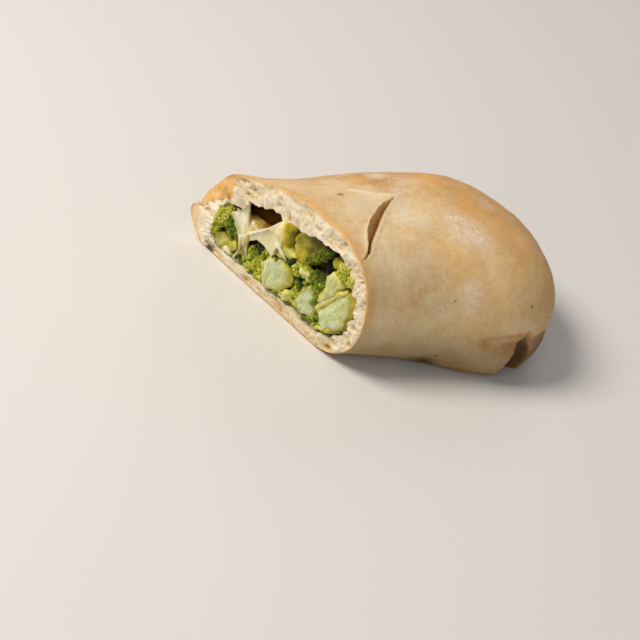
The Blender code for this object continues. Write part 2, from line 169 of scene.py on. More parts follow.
def setInputs(node, values):  # a socket is linked, a colour ramp gets its stops, and anything else is set
    for name, value in values.items():
        if isinstance(value, bpy.types.NodeSocket):
            node.id_data.links.new(value, node.inputs[name])
        elif name == "stops":
            elements = node.color_ramp.elements
            while len(elements) > 1:
                elements.remove(elements[-1])
            for k, (place, colour) in enumerate(value):
                element = elements[0] if k == 0 else elements.new(place)
                element.position = place
                element.color = toLinear(colour)
        elif isinstance(name, int) or name in node.inputs:
            node.inputs[name].default_value = value
        else:
            setattr(node, name, value)


usualOutputs = {"TexCoord": "Object", "Attribute": "Fac", "Mix": 2}  # where it isn't the first that is read


def addNode(tree, kind, values, output=None):
    node = tree.nodes.new("ShaderNode" + kind)
    if kind == "Mix":
        node.data_type = "RGBA"
    setInputs(node, values)
    return node.outputs[usualOutputs.get(kind, 0) if output is None else output]


def newMaterial(name, values):  # with its shader, and the function that adds nodes to it
    material = bpy.data.materials.new(name)
    material.use_nodes = True
    shader = material.node_tree.nodes["Principled BSDF"]
    setInputs(shader, values)
    return material, shader, partial(addNode, material.node_tree)


def finishPiece(name, mesh, material, node, sharpDegrees=50):
    mesh.transform(toFrame)
    data = toData(mesh, name)
    data.materials.append(material)
    data.shade_smooth()
    data.set_sharp_from_angle(angle=math.radians(sharpDegrees))
    piece = addObject(name, data)
    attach(piece, "root")
    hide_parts(node)
    print(f"{name}: {sum(len(face.vertices) - 2 for face in data.polygons)} triangles")


# The form of the loaf

def sectionForm(ray, hollow=False):
    along = min(ray, lastRay - ray, loaf["straightRays"])
    angle, reach, waist, drawnIn, squareness = (between(column, ray) for column in zip(*rays))
    ridgeStart = alongCut * (loaf["ridgeAlongCut"] - loaf["cutWidth"] / 2)
    form = {
        "origin": ridgeStart.lerp(loaf["endCentre"], along / loaf["straightRays"]),
        "direction": Vector((math.cos(math.radians(angle)), math.sin(math.radians(angle)), 0)),
        "height": between(loaf["ridgeHeights"], along),
        "reach": reach,
        "waist": waist,
        "foot": reach - drawnIn,
        "floor": 0.0,
        "power": 2 / squareness,
    }
    if hollow:
        walls = loaf["walls"]
        side = walls["tallSide"] + (walls["lowSide"] - walls["tallSide"]) * rise(6, 11, ray)
        side += (walls["end"] - side) * rise(3, 4.5, ray) * fall(8.5, 10, ray)
        form["reach"] -= side
        form["foot"] -= side * walls["under"]
        form["height"] -= walls["top"]
        form["floor"] = walls["base"]
    return form


def sectionSpot(form, share):  # from the ridge over the shoulder and the overhang to the middle of the base
    shoulder, under = loaf["sectionShares"]
    reach, waist, foot, floor = form["reach"], form["waist"], form["foot"], form["floor"]
    if share <= shoulder:
        a = math.pi / 2 * share / shoulder
        out = reach * math.sin(a) ** form["power"]
        height = waist + (form["height"] - waist) * max(math.cos(a), 0) ** form["power"]
    elif share <= under:
        a = math.pi / 2 * (share - shoulder) / (under - shoulder)
        out = foot + (reach - foot) * math.cos(a)
        height = waist - (waist - floor) * math.sin(a)
    else:
        out = foot * (1 - (share - under) / (1 - under))
        height = floor
    return form["origin"] + form["direction"] * out + up * height


def layGrid(mesh, segments, place):  # a grid of unit size, each vertex moved by place(u, v)
    made = bmesh.ops.create_grid(mesh, x_segments=segments[0], y_segments=segments[1], size=0.5)["verts"]
    for vertex in made:
        place(vertex, vertex.co.x + 0.5, vertex.co.y + 0.5)


# Baked dough: crust, cut crumb and the wall of the hollow, as one closed skin

dough = {
    "raySteps": 300,
    "sectionSteps": 160,
    "faceSteps": 13,
    "liningSteps": 66,
    "lumps": (34, 1.1),  # size and depth of the hand-shaped unevenness
    "ripples": (9, 0.28),
    "grain": (3.2, 0.10),
    "seamRay": 8.6,
    "seamHeight": 17,
    "seamLip": 3.2,
    "seamDepth": 2.4,
    "dragBack": 1.5,
    "dragReach": 24,
    "pinchHeight": 23,
    "pinchDepth": 1.8,
    "slitX": (45.9, 39, 34, 30.2, 27.4, 25.4, 24, 20.3),
    "slitY": (-4.1, -10.2, -16.9, -23.2, -28.8, -34.5, -38, -42),
    "slitWidths": (0, 2.4, 3.6, 4.2, 3.4, 1.8, 1.2, 0),
    "slitDepth": 6.5,
    "crease": ((45.9, -4.1), (38.9, -2.6), (36.1, -1.3), (31.8, 1.2), (27.5, 3.6)),
    "sheetFoot": 20,
    "sheetEdge": (3.5, 7.5, 12, 18.5, 21.8, 22.4, 23, 24),  # W every 4 mm up, where its skin shows in front
    "foldTop": Vector((101.5, -60, 30)),
    "foldFoot": Vector((100, -54, -4)),
    "foldRadii": (8.5, 2.6),
    "foldNear": 21,  # finer faces this near to the fold and to the slit
    "slitNear": 5,
    "slitAbove": 45,  # where on the crown the slit and its crease lie
    "slitUpTo": 60,
    "crownReach": 22,  # the rays crowd here, so their vertices are merged
    "crownAbove": 15,
    "crownMerge": 0.34,
}
slitSteps = 10 * (len(dough["slitX"]) - 1)
slitPath = []
slitTree = kdtree.KDTree(slitSteps + 1)
for k in range(slitSteps + 1):
    position = k / 10
    here = Vector((between(dough["slitX"], position), between(dough["slitY"], position), 0))
    slitTree.insert(here, k)
    slitPath.append((here, max(between(dough["slitWidths"], position), 0) / 2))
slitTree.balance()


def nearSlit(point):
    return point.z > dough["slitAbove"] and point.x < dough["slitUpTo"]


def slitShape(point):  # the sink and the lip of the vent slit at a point of the crown
    here, k, distance = slitTree.find(flat(point))
    half = slitPath[k][1]
    if distance > half + 4:
        return 0, 0
    ahead = slitPath[min(k + 1, slitSteps)][0] - slitPath[max(k - 1, 0)][0]
    off = flat(point) - here
    side = math.copysign(distance, ahead.y * off.x - ahead.x * off.y)  # above 0 towards the open sheet
    side += 0.3 * noise(point / 2.2) + 0.22 * noise(point / 0.9)
    bow = math.sin(math.pi * k / slitSteps) ** 0.5
    wall = rise(-half - 0.1, -half + 0.35, side)  # steep on one side, and rising gently to the other
    slope = clamp((half - side) / max(2 * half, 0.3)) ** 0.8
    sink = dough["slitDepth"] * (0.2 + 0.8 * bow) * wall * slope
    sink += 0.5 * noise(point / 1.4) * min(sink, 1)
    lip = bell(side - half - 0.5, 0.6) * 0.55 + bell(side + half + 0.8, 1.1) * 0.3
    return sink, lip * bow


def creaseShape(point):  # the raised fold line that runs on from the slit
    nearest = 99
    for start, end in zip(dough["crease"], dough["crease"][1:]):
        start, end = Vector((*start, 0)), Vector((*end, 0))
        t = clamp((point - start).dot(end - start) / (end - start).length_squared)
        nearest = min(nearest, (flat(point) - start.lerp(end, t)).length)
    return bell(nearest, 1.3)


def foldShape(point, inward):  # how far the tucked fold at the closed end goes in
    axis = dough["foldTop"] - dough["foldFoot"]
    t = (point - dough["foldFoot"]).dot(axis) / axis.length_squared
    if not 0 <= t <= 1.1:
        return 0
    wide, narrow = dough["foldRadii"]
    radius = wide + (narrow - wide) * min(t, 1)
    off = point - (dough["foldFoot"] + axis * t)
    ahead = off.dot(inward)
    beside = (off - inward * ahead).length
    if beside >= radius:
        return 0
    return max(math.sqrt(radius * radius - beside * beside) - ahead, 0) * fall(0.95, 1.1, t)


def refine(mesh, faces, cuts):
    edges = list({edge for face in faces for edge in face.edges})
    bmesh.ops.subdivide_edges(mesh, edges=edges, cuts=cuts, use_grid_fill=True)


def soften(mesh, verts, times):
    everyWay = {"use_axis_x": True, "use_axis_y": True, "use_axis_z": True}
    for _ in range(times):
        bmesh.ops.smooth_vert(mesh, verts=verts, factor=0.5, **everyWay)


crustFields = ("bake", "flour", "crumb", "stain", "gold")


def makeDough():
    mesh = bmesh.new()
    rayLayer = mesh.verts.layers.float.new("ray")
    faceLayer = mesh.verts.layers.float.new("onFace")  # across the cut face, from 0 on the crust to 1
    liningLayer = mesh.verts.layers.float.new("lining")
    steps = dough["sectionSteps"]
    outer = [sectionForm(lastRay * k / dough["raySteps"]) for k in range(dough["raySteps"] + 1)]
    inner = [sectionForm(lastRay * k / dough["liningSteps"], True) for k in range(dough["liningSteps"] + 1)]

    def placeOuter(vertex, u, v):
        k = round(u * dough["raySteps"])
        vertex[rayLayer] = lastRay * k / dough["raySteps"]
        vertex.co = sectionSpot(outer[k], v)

    def placeLining(vertex, u, v):
        k = round(u * dough["liningSteps"])
        vertex[rayLayer] = lastRay * k / dough["liningSteps"]
        vertex[liningLayer] = 1
        vertex.co = sectionSpot(inner[k], v)

    def placeFace(vertex, u, v):  # u goes down the tall half of the cut and back up the low half
        k, share = (0, 2 * u) if u <= 0.5 else (-1, 2 - 2 * u)
        vertex[rayLayer] = 0 if k == 0 else lastRay
        vertex[faceLayer] = v
        vertex.co = sectionSpot(outer[k], share).lerp(sectionSpot(inner[k], share), v)

    layGrid(mesh, (dough["raySteps"], steps), placeOuter)
    layGrid(mesh, (dough["liningSteps"], steps), placeLining)
    layGrid(mesh, (2 * steps, dough["faceSteps"]), placeFace)
    bmesh.ops.remove_doubles(mesh, verts=mesh.verts, dist=0.02)
    crown = [v for v in mesh.verts if (v.co - loaf["endCentre"]).xy.length < dough["crownReach"]
             and v.co.z > dough["crownAbove"]]
    bmesh.ops.remove_doubles(mesh, verts=crown, dist=dough["crownMerge"])
    bmesh.ops.recalc_face_normals(mesh, faces=mesh.faces)
    for vertex in mesh.verts:  # the edge round the hollow belongs to the cut face and to the lining
        if vertex[liningLayer] > 0.5 and abs(vertex.co.dot(outOfCut)) < 0.01:
            vertex[faceLayer] = 1

    # finer faces where the cut, the slit and the fold need them
    refine(mesh, [f for f in mesh.faces if sum(v[faceLayer] for v in f.verts) / len(f.verts) > 0.02
                  and abs(f.calc_center_median().dot(outOfCut)) < 0.1], 1)
    centres = ((f, f.calc_center_median()) for f in mesh.faces)
    refine(mesh, [f for f, centre in centres if centre.z > dough["slitAbove"]
                  and slitTree.find(flat(centre))[2] < dough["slitNear"]], 2)
    foldMiddle = (dough["foldTop"] + dough["foldFoot"]) / 2
    refine(mesh, [f for f in mesh.faces if (f.calc_center_median() - foldMiddle).length < dough["foldNear"]
                  and f.verts[0][liningLayer] < 0.5], 1)
    bends = [v for v in mesh.verts if v[liningLayer] < 0.5 and v[faceLayer] < 0.001 and v.co.z > 3
             and 2 < min(v[rayLayer], lastRay - v[rayLayer]) < 4.2]
    soften(mesh, bends, 30)  # the line where the fan of rays starts
    mesh.normal_update()
    print("dough laid out:", len(mesh.verts), "vertices")

    for field in crustFields:
        mesh.verts.layers.float.new(field)
    colourLayers = [mesh.verts.layers.float[field] for field in crustFields]
    placeFields = ("ray", "onFace", "lining")
    rayLayer, faceLayer, liningLayer = (mesh.verts.layers.float[field] for field in placeFields)
    for vertex in mesh.verts:
        start, normal = vertex.co.copy(), vertex.normal.copy()
        if vertex[liningLayer] > 0.5:
            colours = shapeLining(vertex, start, normal)
        elif vertex[faceLayer] > 0.001:
            pitShade = shapeFace(vertex, start, vertex[faceLayer], vertex[rayLayer])
            colours = faceColours(start, vertex[faceLayer], pitShade)
        else:
            sunk = shapeCrust(vertex, start, normal, vertex[rayLayer])
            colours = crustColours(start, sunk)
        for layer, value in zip(colourLayers, colours):
            vertex[layer] = clamp(value)
        vertex.co.z = max(vertex.co.z, 0)
    soften(mesh, [v for v in mesh.verts if v[liningLayer] < 0.5 and -1.5 < v.co.dot(outOfCut)
                  and v[faceLayer] < 0.12], 3)  # the crust's edge at the cut
    for field in placeFields:
        mesh.verts.layers.float.remove(mesh.verts.layers.float[field])
    return mesh


def dragBack(point, start, share=1.0):  # the knife has pulled the top sheet back at the low corner
    w, h, out = cutPlace(start)
    amount = fall(10, 26, w) * rise(16, 21, h)
    return point - outOfCut * (dough["dragBack"] * amount * share * max(1 + out / dough["dragReach"], 0))


def rimShape(point, ray):  # the lapped sheet on the low side: a lip under the seam, and the groove along it
    w, h, out = cutPlace(point)
    near = rise(-24, -4, out)  # at the cut the lip leans out and the seam gapes
    high = dough["seamHeight"] + 1.5 * near + 0.8 * noise(Vector((ray * 1.7, 0, 3))) * (1 - near)
    lip = dough["seamLip"] * (1 - near * fall(5, 13.5, h))
    lip *= fall(high - 1.1, high + 1.1, h)
    groove = dough["seamDepth"] * (1 + near) * bell(h - high, 1.0)
    lapped = rise(dough["seamRay"], dough["seamRay"] + 1.5, ray)
    return (lip - groove) * lapped + 2.0 * spot(point, 20, 46, 16, -2)


def shapeCrust(vertex, start, normal, ray):
    (lumpSize, lumpDepth), (rippleSize, rippleDepth) = dough["lumps"], dough["ripples"]
    grainSize, grainDepth = dough["grain"]
    lumps = noise(start / lumpSize) + 0.35 * noise(start / (lumpSize * 0.4))
    amount = lumpDepth * lumps + rippleDepth * noise(start / rippleSize)
    amount += grainDepth * noise(start / grainSize)
    amount += rimShape(start, ray)
    pinched = rise(2.6, 3.4, ray) * fall(4.6, 5.2, ray)
    pinchLine = dough["pinchHeight"] + 2.5 * noise(Vector((ray * 1.3, 0, 7)))
    amount -= dough["pinchDepth"] * pinched * bell(start.z - pinchLine, 3.2)
    creased = bell(start.z - 25 - 0.2 * (start.x - 76), 1.2)  # runs on from the tucked fold
    amount -= 1.3 * creased * bump(start, (90, -59, 27), 17)
    amount += 1.3 * bump(start, (88, -60, 15), 14) - 0.9 * bump(start, (70, -52, 1), 4)
    amount *= rise(0, 8, start.z)
    sunk = 0
    if ray < 8 and start.z < 34:
        sunk = foldShape(start, -normal)
        amount -= sunk
    vertex.co = start + normal * amount
    if nearSlit(start):
        sink, lip = slitShape(start)
        vertex.co.z += lip + 0.5 * creaseShape(start) - sink
        vertex.co.x -= 0.15 * sink
        sunk = max(sunk, sink)
    vertex.co = dragBack(vertex.co, start)
    return sunk


def pores(point, size, radius):  # 1 in the middle of a pore
    return max(1 - voronoi(point / size)[0][0] / radius, 0)


def crumbShare(point, across):  # 0 where skin shows in front, as on the torn sheet at the low corner
    w, h, out = cutPlace(point)
    rim = 0.6 + 0.5 * noise(point / 3) + 2.6 * fall(3, 9, w) * fall(16, 18, h)
    edge = between(dough["sheetEdge"], clamp((h - dough["sheetFoot"]) / 4, 0, 7))
    sheet = fall(edge - 0.3, edge + 0.9, w + 0.3 * noise(point / 3.4))
    return rise(rim, rim + 1.3, across * 10) * (1 - sheet * rise(18.6, 19.6, h))


# How far the torn crumb stands out at a place on the cut, how deep its pores are, the way inwards, and how
# far its ragged inner edge reaches that way.
def tornCrumb(start):
    w, h, out = cutPlace(start)
    torn = 1.0 * noise(start / 6.5) + 0.6 * noise(start / 2.7) + 0.25 * noise(start / 1.2)
    holes = 1.0 * pores(start, 2.3, 0.4) + 2.0 * pores(start + Vector((0, 7, 0)), 6.5, 0.3)
    ragged = (1.6 * noise(start / 4.2) + 1.1 * noise(start / 1.6)) * rise(8, 22, w)
    ragged += 3.2 * fall(12, 20, w) * rise(3, 8, h) * fall(22, 28, h)
    low = rise(53, 57, w) * fall(70, 78, w) + 2 * spot(start, 27.5, 35, 9)
    ragged += 2.4 * low * rise(27, 31, h)
    ragged += 1.6 * spot(start, 57, 47, 5) + 1.8 * spot(start, 75, 51.5, 6)
    ragged -= 3.4 * spot(start, 93.5, 50, 9)
    return torn, holes, (onCut(66, 25) - start).normalized(), ragged


def shapeFace(vertex, start, across, ray):
    torn, holes, inward, ragged = tornCrumb(start)
    fade = rise(0, 0.15, across) * (0.25 + 0.75 * crumbShare(start, across))
    vertex.co = dragBack(start + outOfCut * ((torn - holes) * fade), start, 1 - across)
    ragged *= rise(0.5, 0.95, across)
    vertex.co += inward * (ragged - rimShape(start, ray) * fall(0, 0.45, across))
    return 0.35 - 0.3 * torn + 0.3 * holes


def shapeLining(vertex, start, normal):  # pale low down, and browned by steam at the roof
    vertex.co = start + normal * (0.6 * noise(start / 5))
    w, h, out = cutPlace(start)
    if out > -5:
        torn, holes, inward, ragged = tornCrumb(start)
        vertex.co += (outOfCut * (torn - holes) + inward * ragged) * rise(-5, 0, out)
    scorched = rise(14, 30, h) * rise(1, -3, out)
    return 0.4 + 0.5 * scorched, 0, 1, 0.1 + 0.5 * scorched, 0


bakedAndShadedPatches = (  # centre, radius, how much more browned; those low on the tall side by the tucked fold also paint its shade
    ((37, 19, 59), 9, 0.14),
    ((39, 10, 62), 8, 0.14),
    ((46, 12, 62), 7, 0.10),
    ((21.2, -0.4, 61.5), 2.4, 0.7),
    ((87, -9, 60), 13, 0.10),
    ((99, -34, 55), 16, 0.08),
    ((51, -48, 49), 5, 0.10),
    ((97, -58, 25), 10, 0.30),
    ((84, -58, 22), 11, 0.16),
    ((72, -52, 4), 16, 0.16),
    ((104, -51, 6), 13, 0.30),
    ((110, -51, 18), 13, 0.40),
    ((92, -58, 22), 10, 0.22),
    ((80, -58, 23), 7, 0.14),
    ((-18, 40, 34), 18, 0.16),
)
palePatches = (
    ((33, -7, 62), 13, 0.12),
    ((24, -14, 61), 10, 0.10),
    ((60, -54, 24), 26, 0.10),
    ((54, -14, 63), 15, 0.16),
    ((58, 4, 64), 16, 0.10),
    ((44, 17, 60), 6, 0.20),
    ((108, -36, 50), 14, 0.16),
)
flourPatches = (
    ((71.3, -26.4, 61.8), 14, 0.6),
    ((67.8, -19.6, 63.2), 9, 0.6),
    ((78, -32.6, 60.1), 10, 0.6),
    ((70, -50.8, 46.8), 9, 0.7),
    ((68.7, -53.5, 40.9), 7, 0.45),
    ((37.9, -44.4, 52.9), 10, 0.5),
    ((31.9, -38.5, 57.7), 9, 0.45),
    ((51.1, -19.6, 62.9), 10, 0.5),
    ((44.5, 18, 59.9), 8, 0.7),
    ((30, -8, 62), 12, 0.4),
    ((53.1, 11, 62.6), 9, 0.45),
    ((49, -0.5, 63.8), 8, 0.5),
    ((46, -9.6, 63.6), 8, 0.6),
    ((43.5, -17.8, 62.9), 8, 0.5),
    ((100.2, -58, 31.8), 5, 0.8),
)
goldPatches = (
    ((37, 16, 60), 10, 0.45),
    ((69, 12, 63), 14, 0.25),
    ((83, -9, 61), 16, 0.35),
    ((98, -20, 57), 16, 0.35),
    ((107, -27, 52), 15, 0.35),
    ((113, -38, 44), 13, 0.25),
    ((55, -13, 63), 7, 0.25),
    ((60, -34, 59), 12, 0.30),
    ((65, -46, 51), 9, 0.25),
    ((-20, 42, 28), 14, 0.35),
)
specks = (  # X and Z on the tall side, radius
    (63.2, 42.4, 0.55),
    (63.4, 11.2, 1.1),
    (99.6, 41, 0.7),
    (57.1, 37.7, 0.4),
    (110.4, 33.5, 0.6),
)


def crustColours(point, sunk):
    w, h, out = cutPlace(point)
    bake = 0.40 + 0.11 * noise(point / 13) + 0.08 * noise(point / 5.5)
    bake += 0.24 * rise(-36, 3, point.y + 0.6 * (point.x - 70))  # the far shoulder caught more heat
    bake += bumps(point, bakedAndShadedPatches)
    bake -= bumps(point, palePatches)
    # darker along the foot: painted shade where the base meets the floor
    bake += 0.35 * fall(0, 5, point.z)
    edge = rise(-6, -1.5, out) * rise(20, 34, h)  # toasted along the cut
    bake += 0.12 * edge + 0.1 * fall(12, 24, w) * rise(17, 20, h) * rise(-16, -2, out)
    flap = fall(4, 10, w) * fall(17, 20, h) * rise(-12, -1, out)
    bake -= 0.44 * flap
    gold = bumps(point, goldPatches)
    gold += 0.35 * edge * rise(40, 60, w) + 0.3 * flap
    gold += 0.28 * rise(50, 75, point.x) * rise(16, 34, point.z)
    flour = bumps(point, flourPatches)
    flour *= 0.85 + 0.9 * noise(point / 3)
    flour += 0.06 + 0.36 * max(noise(point / 11 + Vector((5, 0, 0))), 0)
    stain = 0.5 * bump(point, (60, -46, 4), 11) + 1.1 * spot(point, 12.5, 0.5, 4.5)
    # the lobe below the tucked fold: partly browned, partly painted shade
    stain += 0.4 * bump(point, (111, -50, 13), 14)
    stain += 0.9 * bell(h - 18.5, 0.7) * fall(0, 8, w) * rise(-9, -1, out)
    stain += 0.56 * fall(11, 35, point.z) * rise(-20, -40, point.y)  # painted shade low down on the tall side
    if nearSlit(point):
        flour += 0.5 * creaseShape(point)
        bake -= 0.2 * creaseShape(point)
    # by the tucked fold, darker the deeper the crust sinks: painted shade in the fold
    stain += (0.14 * bump(point, (30, -10, 62), 13)
              + 0.9 * bump(point, (99, -53, 14), 15) * rise(0.2, 2, sunk))
    # browner and darker where the slit or fold sinks in: partly browning, partly painted shade in the recess
    if sunk > 0.3:
        bake += 0.2 * rise(0, 3, sunk)
        stain += 0.08 + 0.16 * rise(2.5, 6, sunk)
        flour = 0
    return bake, flour, 0, stain, gold * (1 - 0.7 * min(flour, 1))


def faceColours(point, across, pitShade):  # on the crumb, the browning field holds how deep a pore is instead, and paints shade into the pores
    w, h, out = cutPlace(point)
    crumb = crumbShare(point, across)
    corner = fall(20, 26, w) * rise(18, 20, h)
    skin = 0.38 + 0.3 * fall(0, 4, h) + 0.2 * noise(Vector((w / 2.5, h / 7, 0))) - 0.1 * corner
    streak = max(spot(point, 18.8, 35, 7), spot(point, 16.8, 30, 6))
    skin += 0.6 * streak + 0.2 * spot(point, 14, 35, 4) - 0.3 * spot(point, 8.5, 28, 7)
    # a paler spot high on the torn sheet: painted highlight
    skin -= 0.25 * spot(point, 18.2, 41.5, 4)
    skin += 0.3 * corner * noise(point / 2.6)
    skin -= 0.3 * fall(4, 9, w) * fall(16, 19, h)
    # a toasted spot at the crust's foot, and brown round the small hole above the cheese as painted shade
    stain = 1.4 * spot(point, 13.8, 1, 5) + 0.3 * spot(point, 27.5, 37.5, 5)
    pitShade += 0.16 * fall(4, 7, h) * rise(20, 30, w) - 0.16 * fall(14, 24, w)
    pitShade = clamp(pitShade)
    # golden on the torn corner sheet: its own colour, brightened with painted light through the thin sheet
    gold = 0.3 + (0.45 + 0.4 * noise(point / 4) - 0.75 * streak) * corner
    return skin + (pitShade - skin) * crumb, 0, crumb, stain, gold


crustMaterial, shader, add = newMaterial("wheat_dough_baked", {
    "Roughness": 0.62, "Specular IOR Level": 0.35, "Subsurface Weight": 0.12,
    "Subsurface Radius": (1.0, 0.6, 0.3), "Subsurface Scale": 1.2 * mm,
})
# Baked wheat dough: a dry, faintly satin skin that browns from cream to gold, dusted with flour. Where it is
# cut, the crumb is cream and porous, and light sinks into it a little.
places = add("TexCoord", {})
bakeAndShadeField, flourField, crumbField, stainAndShadeField, goldField = (
    add("Attribute", {"attribute_name": field}) for field in crustFields)
mottle = add("TexNoise", {"Vector": places, "Scale": 1 / (4 * mm), "Detail": 5, "Roughness": 0.62})
fleck = add("TexNoise", {"Vector": places, "Scale": 1 / (1.3 * mm), "Detail": 3, "Roughness": 0.6})
mottleShift = add("Math", {"operation": "MULTIPLY_ADD", 0: mottle, 1: 0.5, 2: -0.25})
fleckShift = add("Math", {"operation": "MULTIPLY_ADD", 0: fleck, 1: 0.34, 2: -0.17})
browningAndShade = add("Math", {"operation": "ADD", 0: bakeAndShadeField, 1: mottleShift})
browningAndShade = add("Math", {"operation": "ADD", "use_clamp": True, 0: browningAndShade, 1: fleckShift})
crustColour = add("ValToRGB", {"Fac": browningAndShade, "stops": (
    (0.0, "#eee0ba"), (0.3, "#e4cb9c"), (0.5, "#dab681"), (0.7, "#cc9b5f"), (0.86, "#b47a41"),
    (1.0, "#7e4b24"),
)})
golden = add("Mix", {0: goldField, 6: crustColour, 7: toLinear("#eeb056")})
freckle = add("TexNoise", {"Vector": places, "Scale": 1 / (2.2 * mm), "Detail": 2, "Distortion": 0.6})
freckleSpread = add("MapRange", {"Value": freckle, "From Min": 0.56, "From Max": 0.8, "To Max": 0.3})
freckled = add("Mix", {0: freckleSpread, 6: golden, 7: toLinear("#c98a48")})
dust = add("TexNoise", {"Vector": places, "Scale": 1 / (1.2 * mm), "Detail": 4, "Roughness": 0.7})
dustSpread = add("MapRange", {"Value": dust, "From Min": 0.34, "From Max": 0.58})
dustAmount = add("Math", {"operation": "MULTIPLY", 0: flourField, 1: dustSpread})
dusted = add("Mix", {0: dustAmount, 6: freckled, 7: toLinear("#ecdece")})
crumbGrain = add("TexNoise", {"Vector": places, "Scale": 1 / (1.3 * mm), "Detail": 4, "Roughness": 0.65})
poreShade = add("Math", {"operation": "MULTIPLY_ADD", 0: crumbGrain, 1: 0.8, 2: -0.4})
paintedPoreShade = add("Math", {"operation": "ADD", "use_clamp": True, 0: poreShade, 1: bakeAndShadeField})
# deeper pores are darker: painted shade in the pores
crumbColour = add("ValToRGB", {"Fac": paintedPoreShade, "stops": (
    (0.0, "#faf0dc"), (0.3, "#f1e3c5"), (0.6, "#e3cca0"), (0.85, "#c9a770"), (1.0, "#a07944"),
)})
skinOrCrumb = add("Mix", {0: crumbField, 6: dusted, 7: crumbColour})
stainedAndShaded = add("Mix", {0: stainAndShadeField, 6: skinOrCrumb, 7: toLinear("#5a431a")})
level = add("VectorMath", {"operation": "MULTIPLY", 0: places, 1: (1, 0, 1)})
speckled = stainedAndShaded
for x, z, radius in specks:  # burnt flour and pin holes
    centre = toFrame @ Vector((x, 0, z))
    away = add("VectorMath", {"operation": "DISTANCE", 0: level, 1: (centre.x, 0, centre.z)}, "Value")
    speck = add("MapRange", {"Value": away, "From Min": radius * mm, "From Max": 0.4 * radius * mm,
                             "To Max": 0.85})
    speckled = add("Mix", {0: speck, 6: speckled, 7: toLinear("#4a3512")})
skinRelief = add("TexNoise", {"Vector": places, "Scale": 1 / (0.7 * mm), "Detail": 4, "Roughness": 0.6})
reliefDepth = add("MapRange", {"Value": crumbField, "To Min": 0.2, "To Max": 1.0})
relief = add("Bump", {"Strength": reliefDepth, "Height": skinRelief, "Distance": 0.45 * mm})
setInputs(shader, {"Base Color": speckled, "Normal": relief})

finishPiece("baked_dough", makeDough(), crustMaterial, "dough")


# Shapes for what fills the loaf

def joinInto(mesh, data):
    mesh.from_mesh(data)
    bpy.data.meshes.remove(data)
    return mesh


def remeshed(mesh, voxel, smoothing):  # one closed skin round everything in the mesh, softened
    data = toData(mesh, "rough")
    rough = addObject("rough", data)
    modifier = rough.modifiers.new("remesh", "REMESH")
    modifier.mode = "VOXEL"
    modifier.voxel_size = voxel
    made = bpy.data.meshes.new_from_object(rough.evaluated_get(bpy.context.evaluated_depsgraph_get()))
    bpy.data.objects.remove(rough)
    bpy.data.meshes.remove(data)
    result = joinInto(bmesh.new(), made)
    soften(result, result.verts, smoothing)
    result.normal_update()
    return result


def addBall(mesh, matrix, radius, fineness):
    return bmesh.ops.create_icosphere(mesh, subdivisions=fineness, radius=radius, matrix=matrix)["verts"]


def addSlab(mesh, outline, back, front, lean=(0, 0)):  # drawn out of the cut between two depths
    corners = [mesh.verts.new(onCut(w, h, back)) for w, h in outline]
    middle = sum((corner.co for corner in corners), Vector()) / len(corners)
    base = mesh.faces.new(corners)
    grown = bmesh.ops.extrude_face_region(mesh, geom=[base])["geom"]
    for vertex in grown:
        if isinstance(vertex, bmesh.types.BMVert):
            off = vertex.co - middle
            vertex.co += outOfCut * (front - back + lean[0] * off.dot(alongCut) + lean[1] * off.z)


def addBeads(mesh, path):  # balls along a smooth path of (W, H, OUT, radius)
    columns = list(zip(*path))
    length = sum((onCut(*a[:3]) - onCut(*b[:3])).length for a, b in zip(path, path[1:]))
    count = max(int(length / cheese["beadSpacing"]), 2)
    for k in range(count + 1):
        w, h, out, radius = (between(column, (len(path) - 1) * k / count) for column in columns)
        addBall(mesh, Matrix.Translation(onCut(w, h, out)), radius, 2)


def packedBulk(node, place, normal):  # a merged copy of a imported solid, in this layout, cut off in front
    mesh = bmesh.new()
    mesh.from_mesh(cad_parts[node].data)
    mesh.transform(toFrame.inverted())
    bmesh.ops.remove_doubles(mesh, verts=mesh.verts, dist=0.01)
    everything = mesh.verts[:] + mesh.edges[:] + mesh.faces[:]
    bmesh.ops.bisect_plane(mesh, geom=everything, plane_co=place, plane_no=normal, clear_outer=True,
                           dist=0.001)
    bmesh.ops.holes_fill(mesh, edges=[edge for edge in mesh.edges if edge.is_boundary])
    bmesh.ops.triangulate(mesh, faces=mesh.faces)
    bmesh.ops.recalc_face_normals(mesh, faces=mesh.faces)
    return mesh


# Melted cheese

